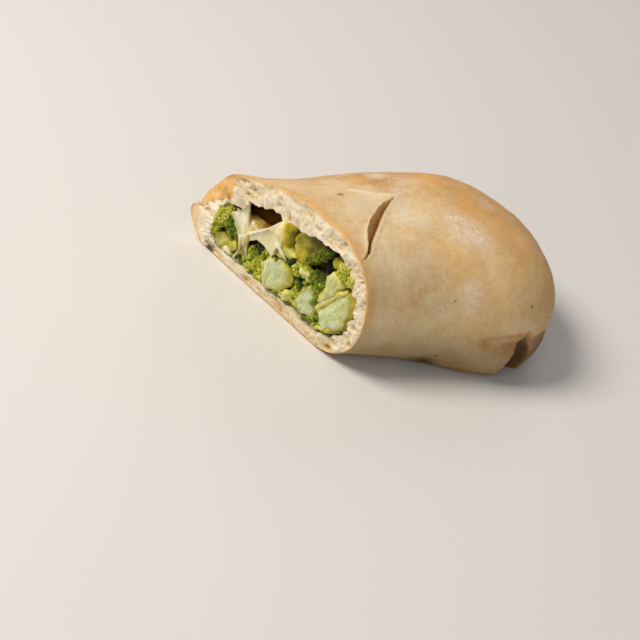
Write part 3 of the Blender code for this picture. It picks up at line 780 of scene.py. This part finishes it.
cheese = {
    "curtain": ((23.2, 27.8), (26.2, 30.2), (28.4, 31.8), (29, 34.4), (29.8, 38), (32.8, 39.6), (33.8, 35),
                (35.3, 30.6), (37.8, 27.2), (40.6, 24.8), (39.4, 22), (37.2, 19.9), (36, 17.4), (34.4, 16.4),
                (33, 19.4), (29.6, 21.8), (25.9, 24.4)),
    "drape": ((38.3, 25.6), (42.3, 29.2), (46, 32.4), (50, 36), (53.8, 40.2), (57.4, 44.8), (56.6, 40),
              (56.2, 35.8), (57.8, 34.2), (59.4, 33), (59, 31.4), (57.6, 31.2), (56.6, 29.6), (56.1, 26.4),
              (54.9, 23.6), (52.4, 25), (48.7, 25.6), (45.4, 25.4), (42.9, 25.2), (40, 22.4)),
    "rim": ((37.6, 24.6, -0.4, 0.9), (39.4, 26.6, 0.1, 1.1), (42.3, 29.4, 0.1, 0.75), (46, 32.6, 0.2, 0.65),
            (50, 36.2, 0.2, 0.6), (53.8, 40.4, 0, 0.6), (57.4, 44.8, -0.8, 0.6)),
    "beadSpacing": 0.35,
    "pocketStart": 24,
    "pocketDepths": (2, 4, 6, 9, 13),  # behind the cut, with a row of floor heights for each, every 4 mm
    "pocketFloor": (
        (30.6, 32.2, 32, 29.8, 28.4, 31.4, 34.8, 38.2, 42.8, 47),
        (29.8, 31.4, 31.8, 31.4, 31, 32.4, 35, 38, 42.4, 47),
        (26.4, 28.4, 31.2, 32.4, 32.8, 33.4, 35.2, 38, 42.4, 47),
        (26, 27.6, 30.4, 30.6, 30.8, 31.4, 34, 38, 42.8, 47),
        (28, 30.6, 32.4, 33.6, 34.4, 35.4, 37, 41, 45, 47),
    ),
    "veil": ((34.4, 18), (37.4, 20), (38.6, 16), (39.2, 12.4), (36, 10.8), (33.4, 11.6)),
    "strands": (
        ((33.6, 20.4, 0.0, 1.1), (34.3, 17.4, 0.6, 0.9), (34.7, 14.6, 0.9, 0.8), (33.4, 11.6, 0.8, 0.75),
         (31.2, 7.7, 0.2, 0.8)),
        ((34.6, 24, -0.8, 0.8), (35.8, 20.4, -0.2, 0.65), (36.6, 17.6, 0.3, 0.45), (38, 14.8, 0.2, 0.35)),
        ((32.2, 39.4, -1.7, 0.75), (32.9, 36, -1.5, 0.6), (34.2, 32.2, -1.2, 0.6), (35.8, 27.7, -0.9, 0.65),
         (37.4, 22.6, -0.7, 0.6)),
        ((23.4, 27.6, -1.4, 0.6), (26.2, 24.4, -1.1, 0.55), (29.8, 21.8, -0.8, 0.65), (32.6, 20, -0.4, 0.8)),
        ((22.8, 7, -0.8, 1.1), (25.2, 8.4, -0.5, 1.5), (27.8, 7.2, -0.8, 1.0)),
        ((37.4, 21, -0.6, 0.7), (38.4, 16.6, -0.2, 0.5), (39.4, 12.8, -0.2, 0.45), (40, 10.4, -0.4, 0.4)),
        ((57.2, 32.2, 0.2, 1.15), (56.5, 29.4, 0.3, 0.9), (56, 26.6, 0.5, 0.7), (55.4, 24.4, 0.7, 0.5)),
        ((57.4, 32.2, 0.2, 1.1), (60, 31.2, 0.3, 1.0), (62.6, 29.8, 0.3, 0.8), (64.4, 28.2, 0, 0.5)),
    ),
}
cheeseMaterial, shader, add = newMaterial("mozzarella_melted", {
    "Roughness": 0.3, "IOR": 1.45, "Subsurface Weight": 0.3, "Subsurface Radius": (1.0, 0.8, 0.45),
    "Subsurface Scale": 1.5 * mm,
})
# Melted mozzarella: smooth and moist, ivory where it is thick, yellower where fat has run out of it, and
# painted dark brown deep in the steam pocket as painted shade, with a painted highlight along the drape's
# rim.
places = add("TexCoord", {})
swirl = add("TexNoise", {"Vector": places, "Scale": 1 / (6 * mm), "Detail": 3})
fatAndShadeField = add("Attribute", {"attribute_name": "fat"})
fat = add("Math", {"operation": "MULTIPLY_ADD", 0: swirl, 1: 0.25, 2: fatAndShadeField})
tint = add("ValToRGB", {"Fac": fat, "stops": (
    (0.1, "#f5f3eb"), (0.35, "#eae4ca"), (0.6, "#dccf98"), (0.8, "#b08f38"), (1.0, "#7d5210"),
)})
thinField = add("Attribute", {"attribute_name": "thin"})
veiled = add("Mix", {0: thinField, 6: tint, 7: toLinear("#8c9450")})
fineSkin = add("TexNoise", {"Vector": places, "Scale": 1 / (1.5 * mm), "Detail": 2})
relief = add("Bump", {"Height": fineSkin, "Distance": 0.2 * mm, "Strength": 0.3})
setInputs(shader, {"Base Color": veiled, "Normal": relief})


def paintFatAndShade(mesh):  # whiter where the curtain is thick, yellower on the drape, and painted shade brown in the steam pocket
    layer = mesh.verts.layers.float.new("fat")
    thinLayer = mesh.verts.layers.float.new("thin")
    for vertex in mesh.verts:
        w, h, out = cutPlace(vertex.co)
        fat = 0.34 + 0.14 * noise(Vector((w / 1.1, h / 9, out / 4))) + 0.06 * rise(38, 42, w)
        fat -= 0.26 * spot(vertex.co, 31.8, 30, 4.5, -1) + 0.2 * spot(vertex.co, 57.3, 32, 3)
        # yellower going back into the pocket: partly the run-out fat, partly painted shade
        fat += 0.3 * rise(-2, -3.2, out) + 0.16 * rise(-3, -5.4, out) * rise(36, 46, w)
        # a tan band beside the pillar: painted shade in the crease
        fat += 0.18 * rise(33, 35.5, w) * fall(38.5, 40.5, w) * rise(-3, -2, out)
        # dark brown deep in the pocket: painted shade
        fat += 0.7 * rise(-5.4, -7.2, out)
        # brown behind the small hole at the left: painted shade
        fat += 0.5 * rise(-2.7, -3.5, out) * fall(28, 30.5, w)
        fat += 0.09 * spot(vertex.co, 38.5, 31.5, 6, -4)
        # a pale line along the drape's rim: painted highlight
        fat -= 0.3 * bell(h - (26.5 + (w - 39) * 0.93), 0.9) * rise(-1.4, -0.2, out)
        vertex[layer] = clamp(fat)
        inward = (7.2 * (w - 23) + 9 * (h - 27.4)) / 11.5  # from the curtain's low left edge
        thin = 0.6 * fall(0.4, 3.6, inward) * rise(19.5, 22, h)
        thin *= fall(36, 38, w)
        veil = 0.85 * spot(vertex.co, 36.8, 13.6, 5.5, -1)
        vertex[thinLayer] = max(thin, veil, 0.5 * spot(vertex.co, 59.4, 29, 3))


def pocketFloor(w, out):  # height of the cheese in the steam pocket
    depths = cheese["pocketDepths"]
    row = sum(clamp((-out - near) / (far - near)) for near, far in zip(depths, depths[1:]))
    column = clamp((w - cheese["pocketStart"]) / 4, 0, 9)
    return between([between(heights, column) for heights in cheese["pocketFloor"]], row)


blanket = remeshed(packedBulk("melted_cheese", onCut(0, 0, -2.2), outOfCut), 0.6, 5)
for vertex in blanket.verts:
    w, h, out = cutPlace(vertex.co)
    if out > -17:
        inside = rise(20, 22, w) * fall(57, 60, w) * rise(-17, -14, out)
        floor = pocketFloor(w, out) + 0.5 * noise(vertex.co / 4)
        vertex.co.z -= max(h - floor, 0) * inside
bmesh.ops.remove_doubles(blanket, verts=blanket.verts, dist=0.2)
for vertex in blanket.verts:
    vertex.co += vertex.normal * (0.4 * noise(vertex.co / 6))
paintFatAndShade(blanket)
finishPiece("cheese_blanket", blanket, cheeseMaterial, "melted_cheese")

hanging = bmesh.new()
addSlab(hanging, cheese["curtain"], -2.8, -1.2, (-0.06, -0.1))
addSlab(hanging, cheese["drape"], -3.4, -0.5, (0, -0.1))
addSlab(hanging, cheese["veil"], -2.2, -0.9)
for path in (cheese["rim"],) + cheese["strands"]:
    addBeads(hanging, path)
hanging = remeshed(hanging, 0.4, 6)
for vertex in hanging.verts:
    w, h, out = cutPlace(vertex.co)
    folds = 0.55 * noise(Vector((w / 1.9, h / 12, 0))) if w < 40 else 0.4 * noise(vertex.co / 5)
    vertex.co += vertex.normal * folds
paintFatAndShade(hanging)
finishPiece("cheese_curtain", hanging, cheeseMaterial, "melted_cheese")


# Broccoli: the bed that fills the loaf, then the cut stems, the florets and the scraps at the cut

stemMaterial, shader, add = newMaterial("broccoli_stem_steamed", {
    "Roughness": 0.27, "IOR": 1.38, "Subsurface Weight": 0.45, "Subsurface Radius": (0.8, 1.0, 0.35),
    "Subsurface Scale": 1.8 * mm,
})
# Steamed broccoli stem: wet and slightly see-through, pale green where it is cut across its fibres, with a
# yellow-green skin.
skinField, toneField, goldField = (
    add("Attribute", {"attribute_name": field}) for field in ("skin", "tone", "golden"))
grainField = add("Attribute", {"attribute_name": "grain"}, "Vector")
places = add("TexCoord", {})
fibres = add("TexNoise", {"Vector": grainField, "Scale": 1.0, "Detail": 4, "Roughness": 0.6})
flesh = add("ValToRGB", {"Fac": fibres, "stops": (
    (0.28, "#a6b163"), (0.45, "#c3cc93"), (0.6, "#d6ddb4"), (0.8, "#e9ecd4"),
)})
cloud = add("TexNoise", {"Vector": places, "Scale": 1 / (4.5 * mm), "Detail": 3})
cloudSpread = add("MapRange", {"Value": cloud, "From Min": 0.45, "From Max": 0.75, "To Max": 0.6})
cloudy = add("Mix", {0: cloudSpread, 6: flesh, 7: toLinear("#a9b45c")})
skinShade = add("Math", {"operation": "MULTIPLY_ADD", 0: cloud, 1: 0.5, 2: -0.25})
skinTone = add("Math", {"operation": "ADD", "use_clamp": True, 0: skinShade, 1: toneField})
skinColour = add("ValToRGB", {"Fac": skinTone, "stops": (
    (0.0, "#3c3a0a"), (0.3, "#767213"), (0.55, "#a8a12a"), (0.8, "#d2ca58"), (1.0, "#eee6a8"),
)})
stemColour = add("Mix", {0: skinField, 6: cloudy, 7: skinColour})
goldened = add("Mix", {"blend_type": "MULTIPLY", 0: goldField, 6: stemColour, 7: toLinear("#ffe694")})
shine = add("MapRange", {"Value": goldField, "To Min": 0.5, "To Max": 0.1})
wetness = add("MapRange", {"Value": cloud, "From Min": 0.4, "From Max": 0.62, "To Min": 0.16,
                           "To Max": 0.44})
relief = add("Bump", {"Height": fibres, "Distance": 0.2 * mm, "Strength": 0.35})
setInputs(shader, {
    "Base Color": goldened, "Specular IOR Level": shine, "Roughness": wetness, "Normal": relief,
})

# Outline (W, H), back and front depth, lean of the front, fibre direction in degrees from the cut's own, how
# much skin shows in front, how light it is, and how that changes along the cut (W) and up (H) for each 10 mm.
plainStem = {
    "lean": (0, 0),
    "skin": 1.0,
    "fade": (0, 0),
    "rind": 0,  # patches of skin on its front
    "turned": 0,  # skin that comes round from the tall side
    "knobs": 1,  # how uneven it is
}
stems = {
    "thickCut": {
        "outline": ((88, 17), (91.5, 22.3), (96, 27.6), (99.4, 33.4), (102.6, 37), (105.8, 37.2),
                    (108.2, 34), (109.2, 28), (108.8, 22.5), (106, 17), (101.5, 13.4), (96, 10),
                    (91.5, 11)),
        "depths": (-9, -0.3), "lean": (0.05, -0.04), "fibres": 55, "skin": 0.0, "light": 0.66,
        "fade": (-0.2, 0), "rind": 0.3, "turned": 0.5, "knobs": 0.55,
    },
    "skinLine": {
        "outline": ((86.6, 17), (89, 23.2), (94.6, 29), (98.2, 34.6), (102, 38.2), (104, 37.4), (100, 32),
                    (96.6, 27), (92, 21.8), (88.8, 16.2)),
        "depths": (-8, 0.2), "lean": (0.02, 0), "fibres": 55, "light": 0.9, "knobs": 0.5, "golden": 0.3,
    },
    "stalk": {
        "outline": ((93, 42.2), (97.4, 42.2), (101.8, 40), (98.6, 34.4), (95.2, 28.8), (91.2, 23),
                    (88.4, 24), (89, 29), (90.4, 37)),
        "depths": (-8, 0.7), "lean": (0.06, 0.02), "fibres": 60, "skin": 0.25, "light": 0.85, "rind": 0.1,
    },
    "roofLump": {
        "outline": ((65, 31.6), (65, 39), (67.4, 45.4), (73, 48.6), (80, 50), (86.4, 50.8), (88.4, 47.5),
                    (85.6, 42.6), (81.6, 38.2), (76.6, 34), (71.6, 30.8), (68, 29.4)),
        "depths": (-11, -1.6), "lean": (-0.1, 0.14), "fibres": 25, "light": 0.4, "fade": (-0.3, -0.2),
        "knobs": 1.8, "golden": 0.35,
    },
    # the yellow stub grows darker to the right: painted shade on its side away from the lamp, over its own
    # yellow
    "yellowStub": {
        "outline": ((53.8, 36.2), (55.8, 41.9), (59.2, 46.6), (63.6, 47.8), (67, 47.6), (66.8, 43.6),
                    (65, 37.8), (63.4, 34.4), (61, 33.8), (57, 35.2)),
        "depths": (-9, 0.3), "lean": (-0.22, 0.04), "fibres": 75, "light": 0.74, "fade": (-1.1, 0),
        "knobs": 0.5, "golden": 0.7,
    },
    "centreCut": {
        "outline": ((50.8, 16), (51.8, 20.5), (55, 24), (59.5, 26), (64, 27.3), (68, 26), (70.8, 21.5),
                    (70.6, 16.8), (65, 11.6), (60.5, 8.2), (55.6, 7), (51.8, 10)),
        "depths": (-9, 0.2), "lean": (-0.05, -0.06), "fibres": 82, "skin": 0.0, "light": 0.7,
        "fade": (-0.1, 0), "rind": 0.25, "turned": 0.6, "knobs": 0.7,
    },
    "neck": {
        "outline": ((54.6, 24.6), (55.2, 29.4), (57.4, 32), (60.6, 34), (65, 34.6), (68.6, 32.4),
                    (67.6, 28.8), (65, 27.2), (60, 25)),
        "depths": (-6, -1.2), "lean": (0, -0.06), "fibres": 60, "skin": 0.4, "light": 0.72, "rind": 0.2,
    },
    "wedge": {
        "outline": ((73.6, 32), (76.6, 31), (80.2, 30), (80.8, 26.8), (78, 24.8), (74.8, 27.4)),
        "depths": (-5, 0.4), "lean": (-0.2, 0.1), "fibres": 30, "skin": 0.5, "light": 0.95,
    },
    "midCut": {
        "outline": ((75.2, 14.6), (76.4, 18.4), (77.6, 21.8), (80.6, 25.2), (84.6, 25.6), (87.4, 23),
                    (87.6, 17), (87.8, 12.6), (85.4, 10), (81, 10), (77, 11)),
        "depths": (-7, 0), "lean": (-0.1, -0.1), "fibres": 70, "skin": 0.0, "light": 0.5, "fade": (0, 0.1),
        "rind": 0.2,
    },
    "farPale": {
        "outline": ((15.8, 6.4), (16.2, 11), (20.2, 15.3), (24, 14.2), (26, 11.5), (23.6, 8), (19.8, 5.6)),
        "depths": (-7, -0.4), "lean": (0, -0.1), "fibres": 60, "skin": 0.6, "light": 0.52, "fade": (0.5, 0),
        "rind": 0.2,
    },
    "farStub": {
        "outline": ((25, 12), (27.4, 15.4), (31, 16.6), (32, 13.2), (30.2, 9.6), (27.4, 9)),
        "depths": (-6, 0.4), "fibres": 80, "skin": 0.9, "light": 0.72,
    },
    "underSkin": {
        "outline": ((89, 9), (93.7, 8.6), (97, 10.2), (102, 13.2), (106.6, 17), (105, 18.7), (101, 16),
                    (95.6, 12)),
        "depths": (-6, 0.6), "lean": (0, 0.1), "fibres": 20, "light": 0.62, "fade": (-0.5, 0), "knobs": 0.6,
        "golden": 0.3,
    },
    "lowChip": {
        "outline": ((61.6, 7.6), (66.4, 12.6), (71.6, 15.2), (72.8, 12.2), (69.9, 9), (66, 7.6)),
        "depths": (-6, 0.2), "fibres": 35, "skin": 0.5, "light": 0.9,
    },
    "sideLobe": {
        "outline": ((89.5, 44.6), (92, 47.6), (95.4, 48.4), (96, 45), (94, 42.6), (91, 42.6)),
        "depths": (-6, -0.9), "fibres": 60, "skin": 0.8, "light": 0.5,
    },
    "leftSliver": {
        "outline": ((50, 12), (50.6, 19), (53, 23.4), (54.4, 22), (52.8, 17), (53.4, 11), (52, 9)),
        "depths": (-5, 0.9), "fibres": 85, "skin": 0.7, "light": 0.8,
    },
    "rightSliver": {
        "outline": ((102.4, 36.4), (106, 39.6), (108.6, 38.2), (109.8, 34), (110.2, 29.6), (109.9, 23.5),
                    (108.2, 18), (105.4, 15.4), (103.4, 18), (104.6, 24), (105.6, 29.4), (105, 34.4)),
        "depths": (-5, -0.2), "lean": (0.1, 0), "fibres": 85, "light": 0.46, "fade": (0, 0.2), "knobs": 0.5,
        "golden": 0.4,
    },
}


def edgeDistance(w, h, outline):  # from a place on the cut to the nearest side of an outline
    nearest = 99
    for (startW, startH), (endW, endH) in zip(outline, outline[1:] + outline[:1]):
        alongW, alongH = endW - startW, endH - startH
        t = clamp(((w - startW) * alongW + (h - startH) * alongH) / (alongW ** 2 + alongH ** 2))
        nearest = min(nearest, math.hypot(w - startW - t * alongW, h - startH - t * alongH))
    return nearest


def makeStems():
    mesh = bmesh.new()
    for index, stem in enumerate(stems.values()):
        stem = {**plainStem, **stem}
        slab = bmesh.new()
        addSlab(slab, stem["outline"], *stem["depths"], stem["lean"])
        piece = remeshed(slab, 0.5, 12)
        skinLayer = piece.verts.layers.float.new("skin")
        toneLayer = piece.verts.layers.float.new("tone")
        goldLayer = piece.verts.layers.float.new("golden")
        grainLayer = piece.verts.layers.float_vector.new("grain")
        turn = math.radians(stem["fibres"])
        direction = alongCut * math.cos(turn) + up * math.sin(turn)
        beside = direction.cross(outOfCut)
        middle = sum((onCut(w, h) for w, h in stem["outline"]), Vector()) / len(stem["outline"])
        for vertex in piece.verts:
            point, normal = vertex.co.copy(), vertex.normal.copy()
            off = point - middle
            knobs = stem["knobs"]
            uneven = 1.2 * noise(point / 5 + Vector((index, 0, 0))) + 0.45 * noise(point / 2.2)
            w, h, out = cutPlace(point)
            rim = edgeDistance(w, h, stem["outline"])
            domed = 1.5 * math.sqrt(1 - (1 - min(rim / 4, 1)) ** 2) - 1.1
            front = normal.dot(outOfCut)
            vertex.co += normal * (uneven * knobs) + outOfCut * (domed * rise(0, 0.6, front))
            shift = alongCut * (1.1 * knobs * noise(point / 3.4))
            vertex.co += shift + up * (0.9 * noise(point / 2.6))
            facing = rise(0.3, 0.97, front)
            skin = 1 - facing * (1 - stem["skin"]) + 0.35 * noise(point / 3) * (1 - facing)
            skin += stem["turned"] * rise(0, 8, off.dot(alongCut))
            skin += 0.7 * fall(0, 2.8, rim + 1.4 * noise(point / 3))
            skin += stem["rind"] * rise(0.1, 0.5, noise(point / 4 + Vector((0, 0, index))))
            vertex[skinLayer] = clamp(skin)
            tone = stem["light"] + stem["fade"][0] * off.dot(alongCut) / 10 + stem["fade"][1] * off.z / 10
            tone -= 0.22 * (1 - facing) * (1 - stem.get("golden", 0)) - 0.2 * noise(point / 4)
            vertex[toneLayer] = tone
            golden = stem.get("golden", 0.1) * vertex[skinLayer]
            vertex[goldLayer] = golden * (1 - 0.8 * rise(0.7, 1, tone))
            across = point.dot(beside) / 1.5 + 0.4 * noise(point / 5)
            vertex[grainLayer] = Vector((across, point.dot(direction) / 11, index * 3 + out / 5))
        joinInto(mesh, toData(piece, "stem"))
    return mesh


finishPiece("broccoli_stems", makeStems(), stemMaterial, "broccoli_filling")

budMaterial, shader, add = newMaterial("broccoli_buds_steamed", {
    "Roughness": 0.45, "IOR": 1.38, "Subsurface Weight": 0.2, "Subsurface Radius": (0.5, 0.8, 0.2),
    "Subsurface Scale": 0.8 * mm,
})
# Steamed broccoli florets: crowded buds, moist between, bright yellow-green at the tips and deep green below,
# deepened by painted shade under and between the buds.
toneField = add("Attribute", {"attribute_name": "tone"})
places = add("TexCoord", {})
leafy = add("TexNoise", {"Vector": places, "Scale": 1 / (2.5 * mm), "Detail": 3})
shift = add("Math", {"operation": "MULTIPLY_ADD", 0: leafy, 1: 0.3, 2: -0.15})
green = add("Math", {"operation": "ADD", "use_clamp": True, 0: toneField, 1: shift})
budColour = add("ValToRGB", {"Fac": green, "stops": (
    (0.0, "#141a09"), (0.2, "#36420f"), (0.42, "#687b18"), (0.65, "#9faa25"), (0.85, "#c5c838"),
    (1.0, "#e2df70"),
)})
setInputs(shader, {"Base Color": budColour})


def makeBed():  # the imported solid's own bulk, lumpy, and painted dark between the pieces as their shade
    bulk = packedBulk("broccoli_filling", onCut(0, 8, -1.2), (outOfCut + up * 0.2).normalized())
    bed = remeshed(bulk, 1.0, 2)
    toneLayer = bed.verts.layers.float.new("tone")
    for vertex in bed.verts:
        w, h, out = cutPlace(vertex.co)
        if out > -16:
            rough = 1.4 * noise(vertex.co / 4.5) + 0.7 * noise(vertex.co / 1.9)
            vertex.co += vertex.normal * (rough - 0.9)
        # behind the small hole at the top left it sinks and is painted black: painted shade
        shadedHole = spot(vertex.co, 22, 29.5, 7, -6)
        vertex.co.z -= 3 * shadedHole
        tone = 0.04 + 0.2 * max(noise(vertex.co / 3), 0) + 0.4 * fall(8, 13, h)
        vertex[toneLayer] = tone * (1 - shadedHole)
    return bed


finishPiece("broccoli_bed", makeBed(), budMaterial, "broccoli_filling")

# Floret heads: W, H, OUT, radius, how light its tips are, which also paints shade: deep-set heads are dark.
florets = (
    (18.6, 23.6, -2.4, 4.4, 1.0),
    (15.6, 18.4, -2.6, 3.4, 0.86),
    (24.6, 20.2, -3.2, 4.2, 0.58),
    (29.4, 18.6, -3.6, 3.4, 0.5),
    (20.6, 27.6, -2.8, 2.7, 1.05),
    (13.6, 12, -2.8, 2.8, 0.85),
    (34.5, 9.4, -2.6, 2.4, 0.34),
    (41.6, 16.6, -3.0, 3.2, 0.74),
    (46.2, 14, -2.4, 3.0, 1.0),
    (43.4, 10.8, -2.2, 2.4, 1.0),
    (44.5, 21, -6, 4.0, 0.16),
    (51.2, 22.8, -2.8, 2.2, 0.78),
    (71.4, 27.4, -2.2, 2.8, 0.92),
    (74, 30.4, -3.0, 2.0, 0.8),
    (83.4, 30.6, -3.4, 3.5, 0.46),
    (86.4, 37.4, -7.4, 3.6, 0.1),
    (88.6, 33, -4.2, 3.0, 0.36),
    (86.2, 27, -2.4, 2.8, 0.6),
    (83, 26.4, -2.4, 2.0, 0.66),
    (74.2, 21.4, -3.2, 3.0, 0.4),
    (73.6, 16.2, -2.4, 2.8, 0.92),
    (77.6, 24.6, -4.2, 2.4, 0.24),
    (77.6, 35.6, -6, 2.4, 0.12),
    (82.6, 37.4, -7.4, 2.6, 0.1),
    (84.6, 44.2, -1.8, 2.6, 0.5),
    (87.2, 46.6, -2.6, 2.2, 0.36),
    (80.6, 40.4, -1.6, 1.9, 0.6),
    (76.8, 36.4, -1.4, 1.5, 0.56),
    (99, 45.4, -1.8, 3.8, 0.96),
    (102, 42.8, -1.8, 3.0, 1.12),
    (96.4, 42.4, -2.0, 2.6, 0.88),
    (105.4, 40.4, -3.4, 2.2, 0.5),
    (75.6, 11, -2.4, 2.2, 1.05),
    (87.4, 13.4, -3.2, 2.6, 0.7),
    (86, 9.8, -2.6, 2.0, 0.6),
)
buds = {"size": 0.42, "spacing": 0.74, "uneven": 0.25}
lobes = {"share": 0.46, "uneven": 0.25, "core": 0.9, "heart": 0.72}  # shares of the radius of what holds them


def spiral(count, dice, jitter):  # directions spread evenly over a ball, a little at random
    for k in range(count):
        level = 1 - 2 * (k + 0.5) / count
        turn = k * math.pi * (3 - math.sqrt(5))
        wide = math.sqrt(1 - level * level)
        away = Vector((wide * math.cos(turn), wide * math.sin(turn), level))
        yield (away + Vector([dice.uniform(-jitter, jitter) for _ in range(3)])).normalized()


def makeFlorets():
    mesh = bmesh.new()
    dice = random.Random(21)
    least, most = 1 - buds["uneven"], 1 + buds["uneven"]
    for w, h, out, radius, light in florets:
        head = bmesh.new()
        toneLayer = head.verts.layers.float.new("tone")
        centre = onCut(w, h, out)
        # the heart under the lobes, and the lobes under the buds, are darker: painted shade
        for vertex in addBall(head, Matrix.Translation(centre), radius * lobes["heart"], 3):
            vertex[toneLayer] = light * 0.2
        for toLobe in spiral(int(9 + 1.6 * radius), dice, 0.25):
            if toLobe.dot(outOfCut) < -0.35:
                continue
            size = radius * lobes["share"] * dice.uniform(1 - lobes["uneven"], 1 + lobes["uneven"])
            lobe = centre + toLobe * (radius - size) * dice.uniform(0.9, 1.3)
            for vertex in addBall(head, Matrix.Translation(lobe), size * lobes["core"], 2):
                vertex[toneLayer] = light * 0.45
            lobeLight = light + dice.uniform(-0.14, 0.1)
            for away in spiral(int(4 * math.pi * size * size / buds["spacing"] ** 2), dice, 0.16):
                if away.dot(toLobe) < -0.1 or away.dot(outOfCut) < -0.5:
                    continue
                grown = [buds["size"] * dice.uniform(least, most) for _ in range(3)]
                place = lobe + away * (size + grown[0] * dice.uniform(-0.2, 0.6))
                # buds turned away from the lobe's outside are darker: painted shade between the lobes
                tone = lobeLight * (0.72 + 0.28 * away.dot(toLobe)) + dice.uniform(-0.1, 0.12)
                for vertex in addBall(head, Matrix.LocRotScale(place, None, grown), 1, 1):
                    vertex[toneLayer] = tone
        joinInto(mesh, toData(head, "floret"))
    return mesh


finishPiece("broccoli_florets", makeFlorets(), budMaterial, "broccoli_filling", 80)

# Chopped scraps between the pieces: W, H, how far they are strewn along and up, how many, how light.
scraps = (
    (46, 12, 5, 4, 26, 0.78),
    (37, 9.4, 4, 2.0, 14, 0.75),
    (22, 7.4, 8, 1.2, 16, 0.62),
    (46, 8, 10, 1.2, 22, 0.74),
    (68, 10.4, 6, 2, 20, 0.92),
    (76, 16, 4, 5, 20, 0.62),
    (84, 10.6, 6, 2.4, 20, 0.6),
    (80, 27, 8, 2.6, 22, 0.62),
    (72, 28, 3.6, 3, 16, 0.9),
    (51.4, 21.4, 2.4, 2.4, 8, 0.74),
    (92, 9.6, 4, 1, 12, 0.8),
    (56, 9.4, 6, 1.2, 16, 0.8),
    (65, 27.6, 4, 1.0, 8, 0.4),
    (87, 20, 2.4, 4, 14, 0.6),
    (100, 43, 4.6, 4, 14, 0.95),
    (19, 22, 5, 5, 18, 0.7),
    (84, 30, 6, 3, 14, 0.46),
    (58, 24.2, 1.0, 0.6, 4, 0.08),
    (67.6, 29, 0.6, 1.6, 6, 0.06),
)


def makeScraps():
    mesh = bmesh.new()
    toneLayer = mesh.verts.layers.float.new("tone")
    dice = random.Random(8)
    for w, h, alongSpread, upSpread, count, light in scraps:
        for _ in range(count):
            low = max(h + dice.uniform(-upSpread, upSpread), 6.6)
            place = onCut(w + dice.uniform(-alongSpread, alongSpread), low, dice.uniform(-2.8, -0.4))
            scales = [dice.uniform(0.5, 1.5) for _ in range(3)]
            turn = dice.uniform(0, math.tau)
            turned = Matrix.Rotation(turn, 4, Vector([dice.uniform(-1, 1) for _ in range(3)]))
            shaped = Matrix.Translation(place) @ turned @ Matrix.Diagonal((*scales, 1))
            tone = light + dice.uniform(-0.25, 0.15)
            for vertex in addBall(mesh, shaped, 1, 2):
                # tone follows the crumpling: lighter where a scrap bulges, darker in its dents, as painted
                # light and shade
                crumple = 1 + 0.55 * noise(vertex.co / 0.8)
                vertex.co = place + (vertex.co - place) * crumple
                vertex[toneLayer] = tone + 0.25 * (crumple - 1)
    return mesh


finishPiece("broccoli_scraps", makeScraps(), budMaterial, "broccoli_filling", 80)


# Floor, light and camera

floorMesh = bmesh.new()
bmesh.ops.create_grid(floorMesh, x_segments=1, y_segments=1, size=3)
bmesh.ops.translate(floorMesh, verts=floorMesh.verts, vec=(0, 0, cadLow.z - 0.2 * mm))
floor = addObject("floor", toData(floorMesh, "floor"))
floorLook = {"Base Color": toLinear("#e4e2df"), "Roughness": 0.85}
floor.data.materials.append(newMaterial("painted_board_matte", floorLook)[0])

world = bpy.data.worlds.new("studio")
bpy.context.scene.world = world
world.use_nodes = True
setInputs(world.node_tree.nodes["Background"], {"Color": toLinear("#eef1f6"), "Strength": 0.27})

view = {
    "position": Vector((-183.42, -464.30, 371.31)),  # from the middle of the cut
    "heading": 65.598,  # degrees from +X
    "down": 36.764,
    "roll": 14.595,  # leaned as the part is in the photo, because here it lies flat
    "lens": 75.94,
    "sensor": 36,
}
cameraData = bpy.data.cameras.new("camera")
cameraData.sensor_width = view["sensor"]
cameraData.lens = view["lens"]
cameraData.clip_start = 0.02
camera = addObject("camera", cameraData)
turned = Matrix.Rotation(math.radians(view["heading"] - 90), 4, "Z")
turned @= Matrix.Rotation(math.radians(90 - view["down"]), 4, "X")
turned @= Matrix.Rotation(math.radians(view["roll"]), 4, "Z")
camera.matrix_world = Matrix.Translation(toFrame @ view["position"]) @ turned
bpy.context.scene.camera = camera
bpy.context.scene.view_settings.view_transform = "Standard"

lights = {  # place from the part's middle in metres, size, power in watts, colour
    "key": ((-0.75, 0.2, 1.05), 0.6, 13.5, "#fff6ea"),
    "fill": ((-0.7, -0.9, 0.6), 1.0, 2, "#fffaf2"),
    "rim": ((0.6, 0.9, 0.8), 0.6, 2, "#fdf6ea"),
}
for name, (place, size, power, colour) in lights.items():
    lightData = bpy.data.lights.new(name, "AREA")
    lightData.shape = "DISK"
    lightData.size = size
    lightData.energy = power
    lightData.color = toLinear(colour)[:3]
    light = addObject(name, lightData)
    light.location = place
    light.rotation_euler = (Vector((0, 0, 0.02)) - Vector(place)).to_track_quat("-Z", "Y").to_euler()
print("floor, light and camera placed")
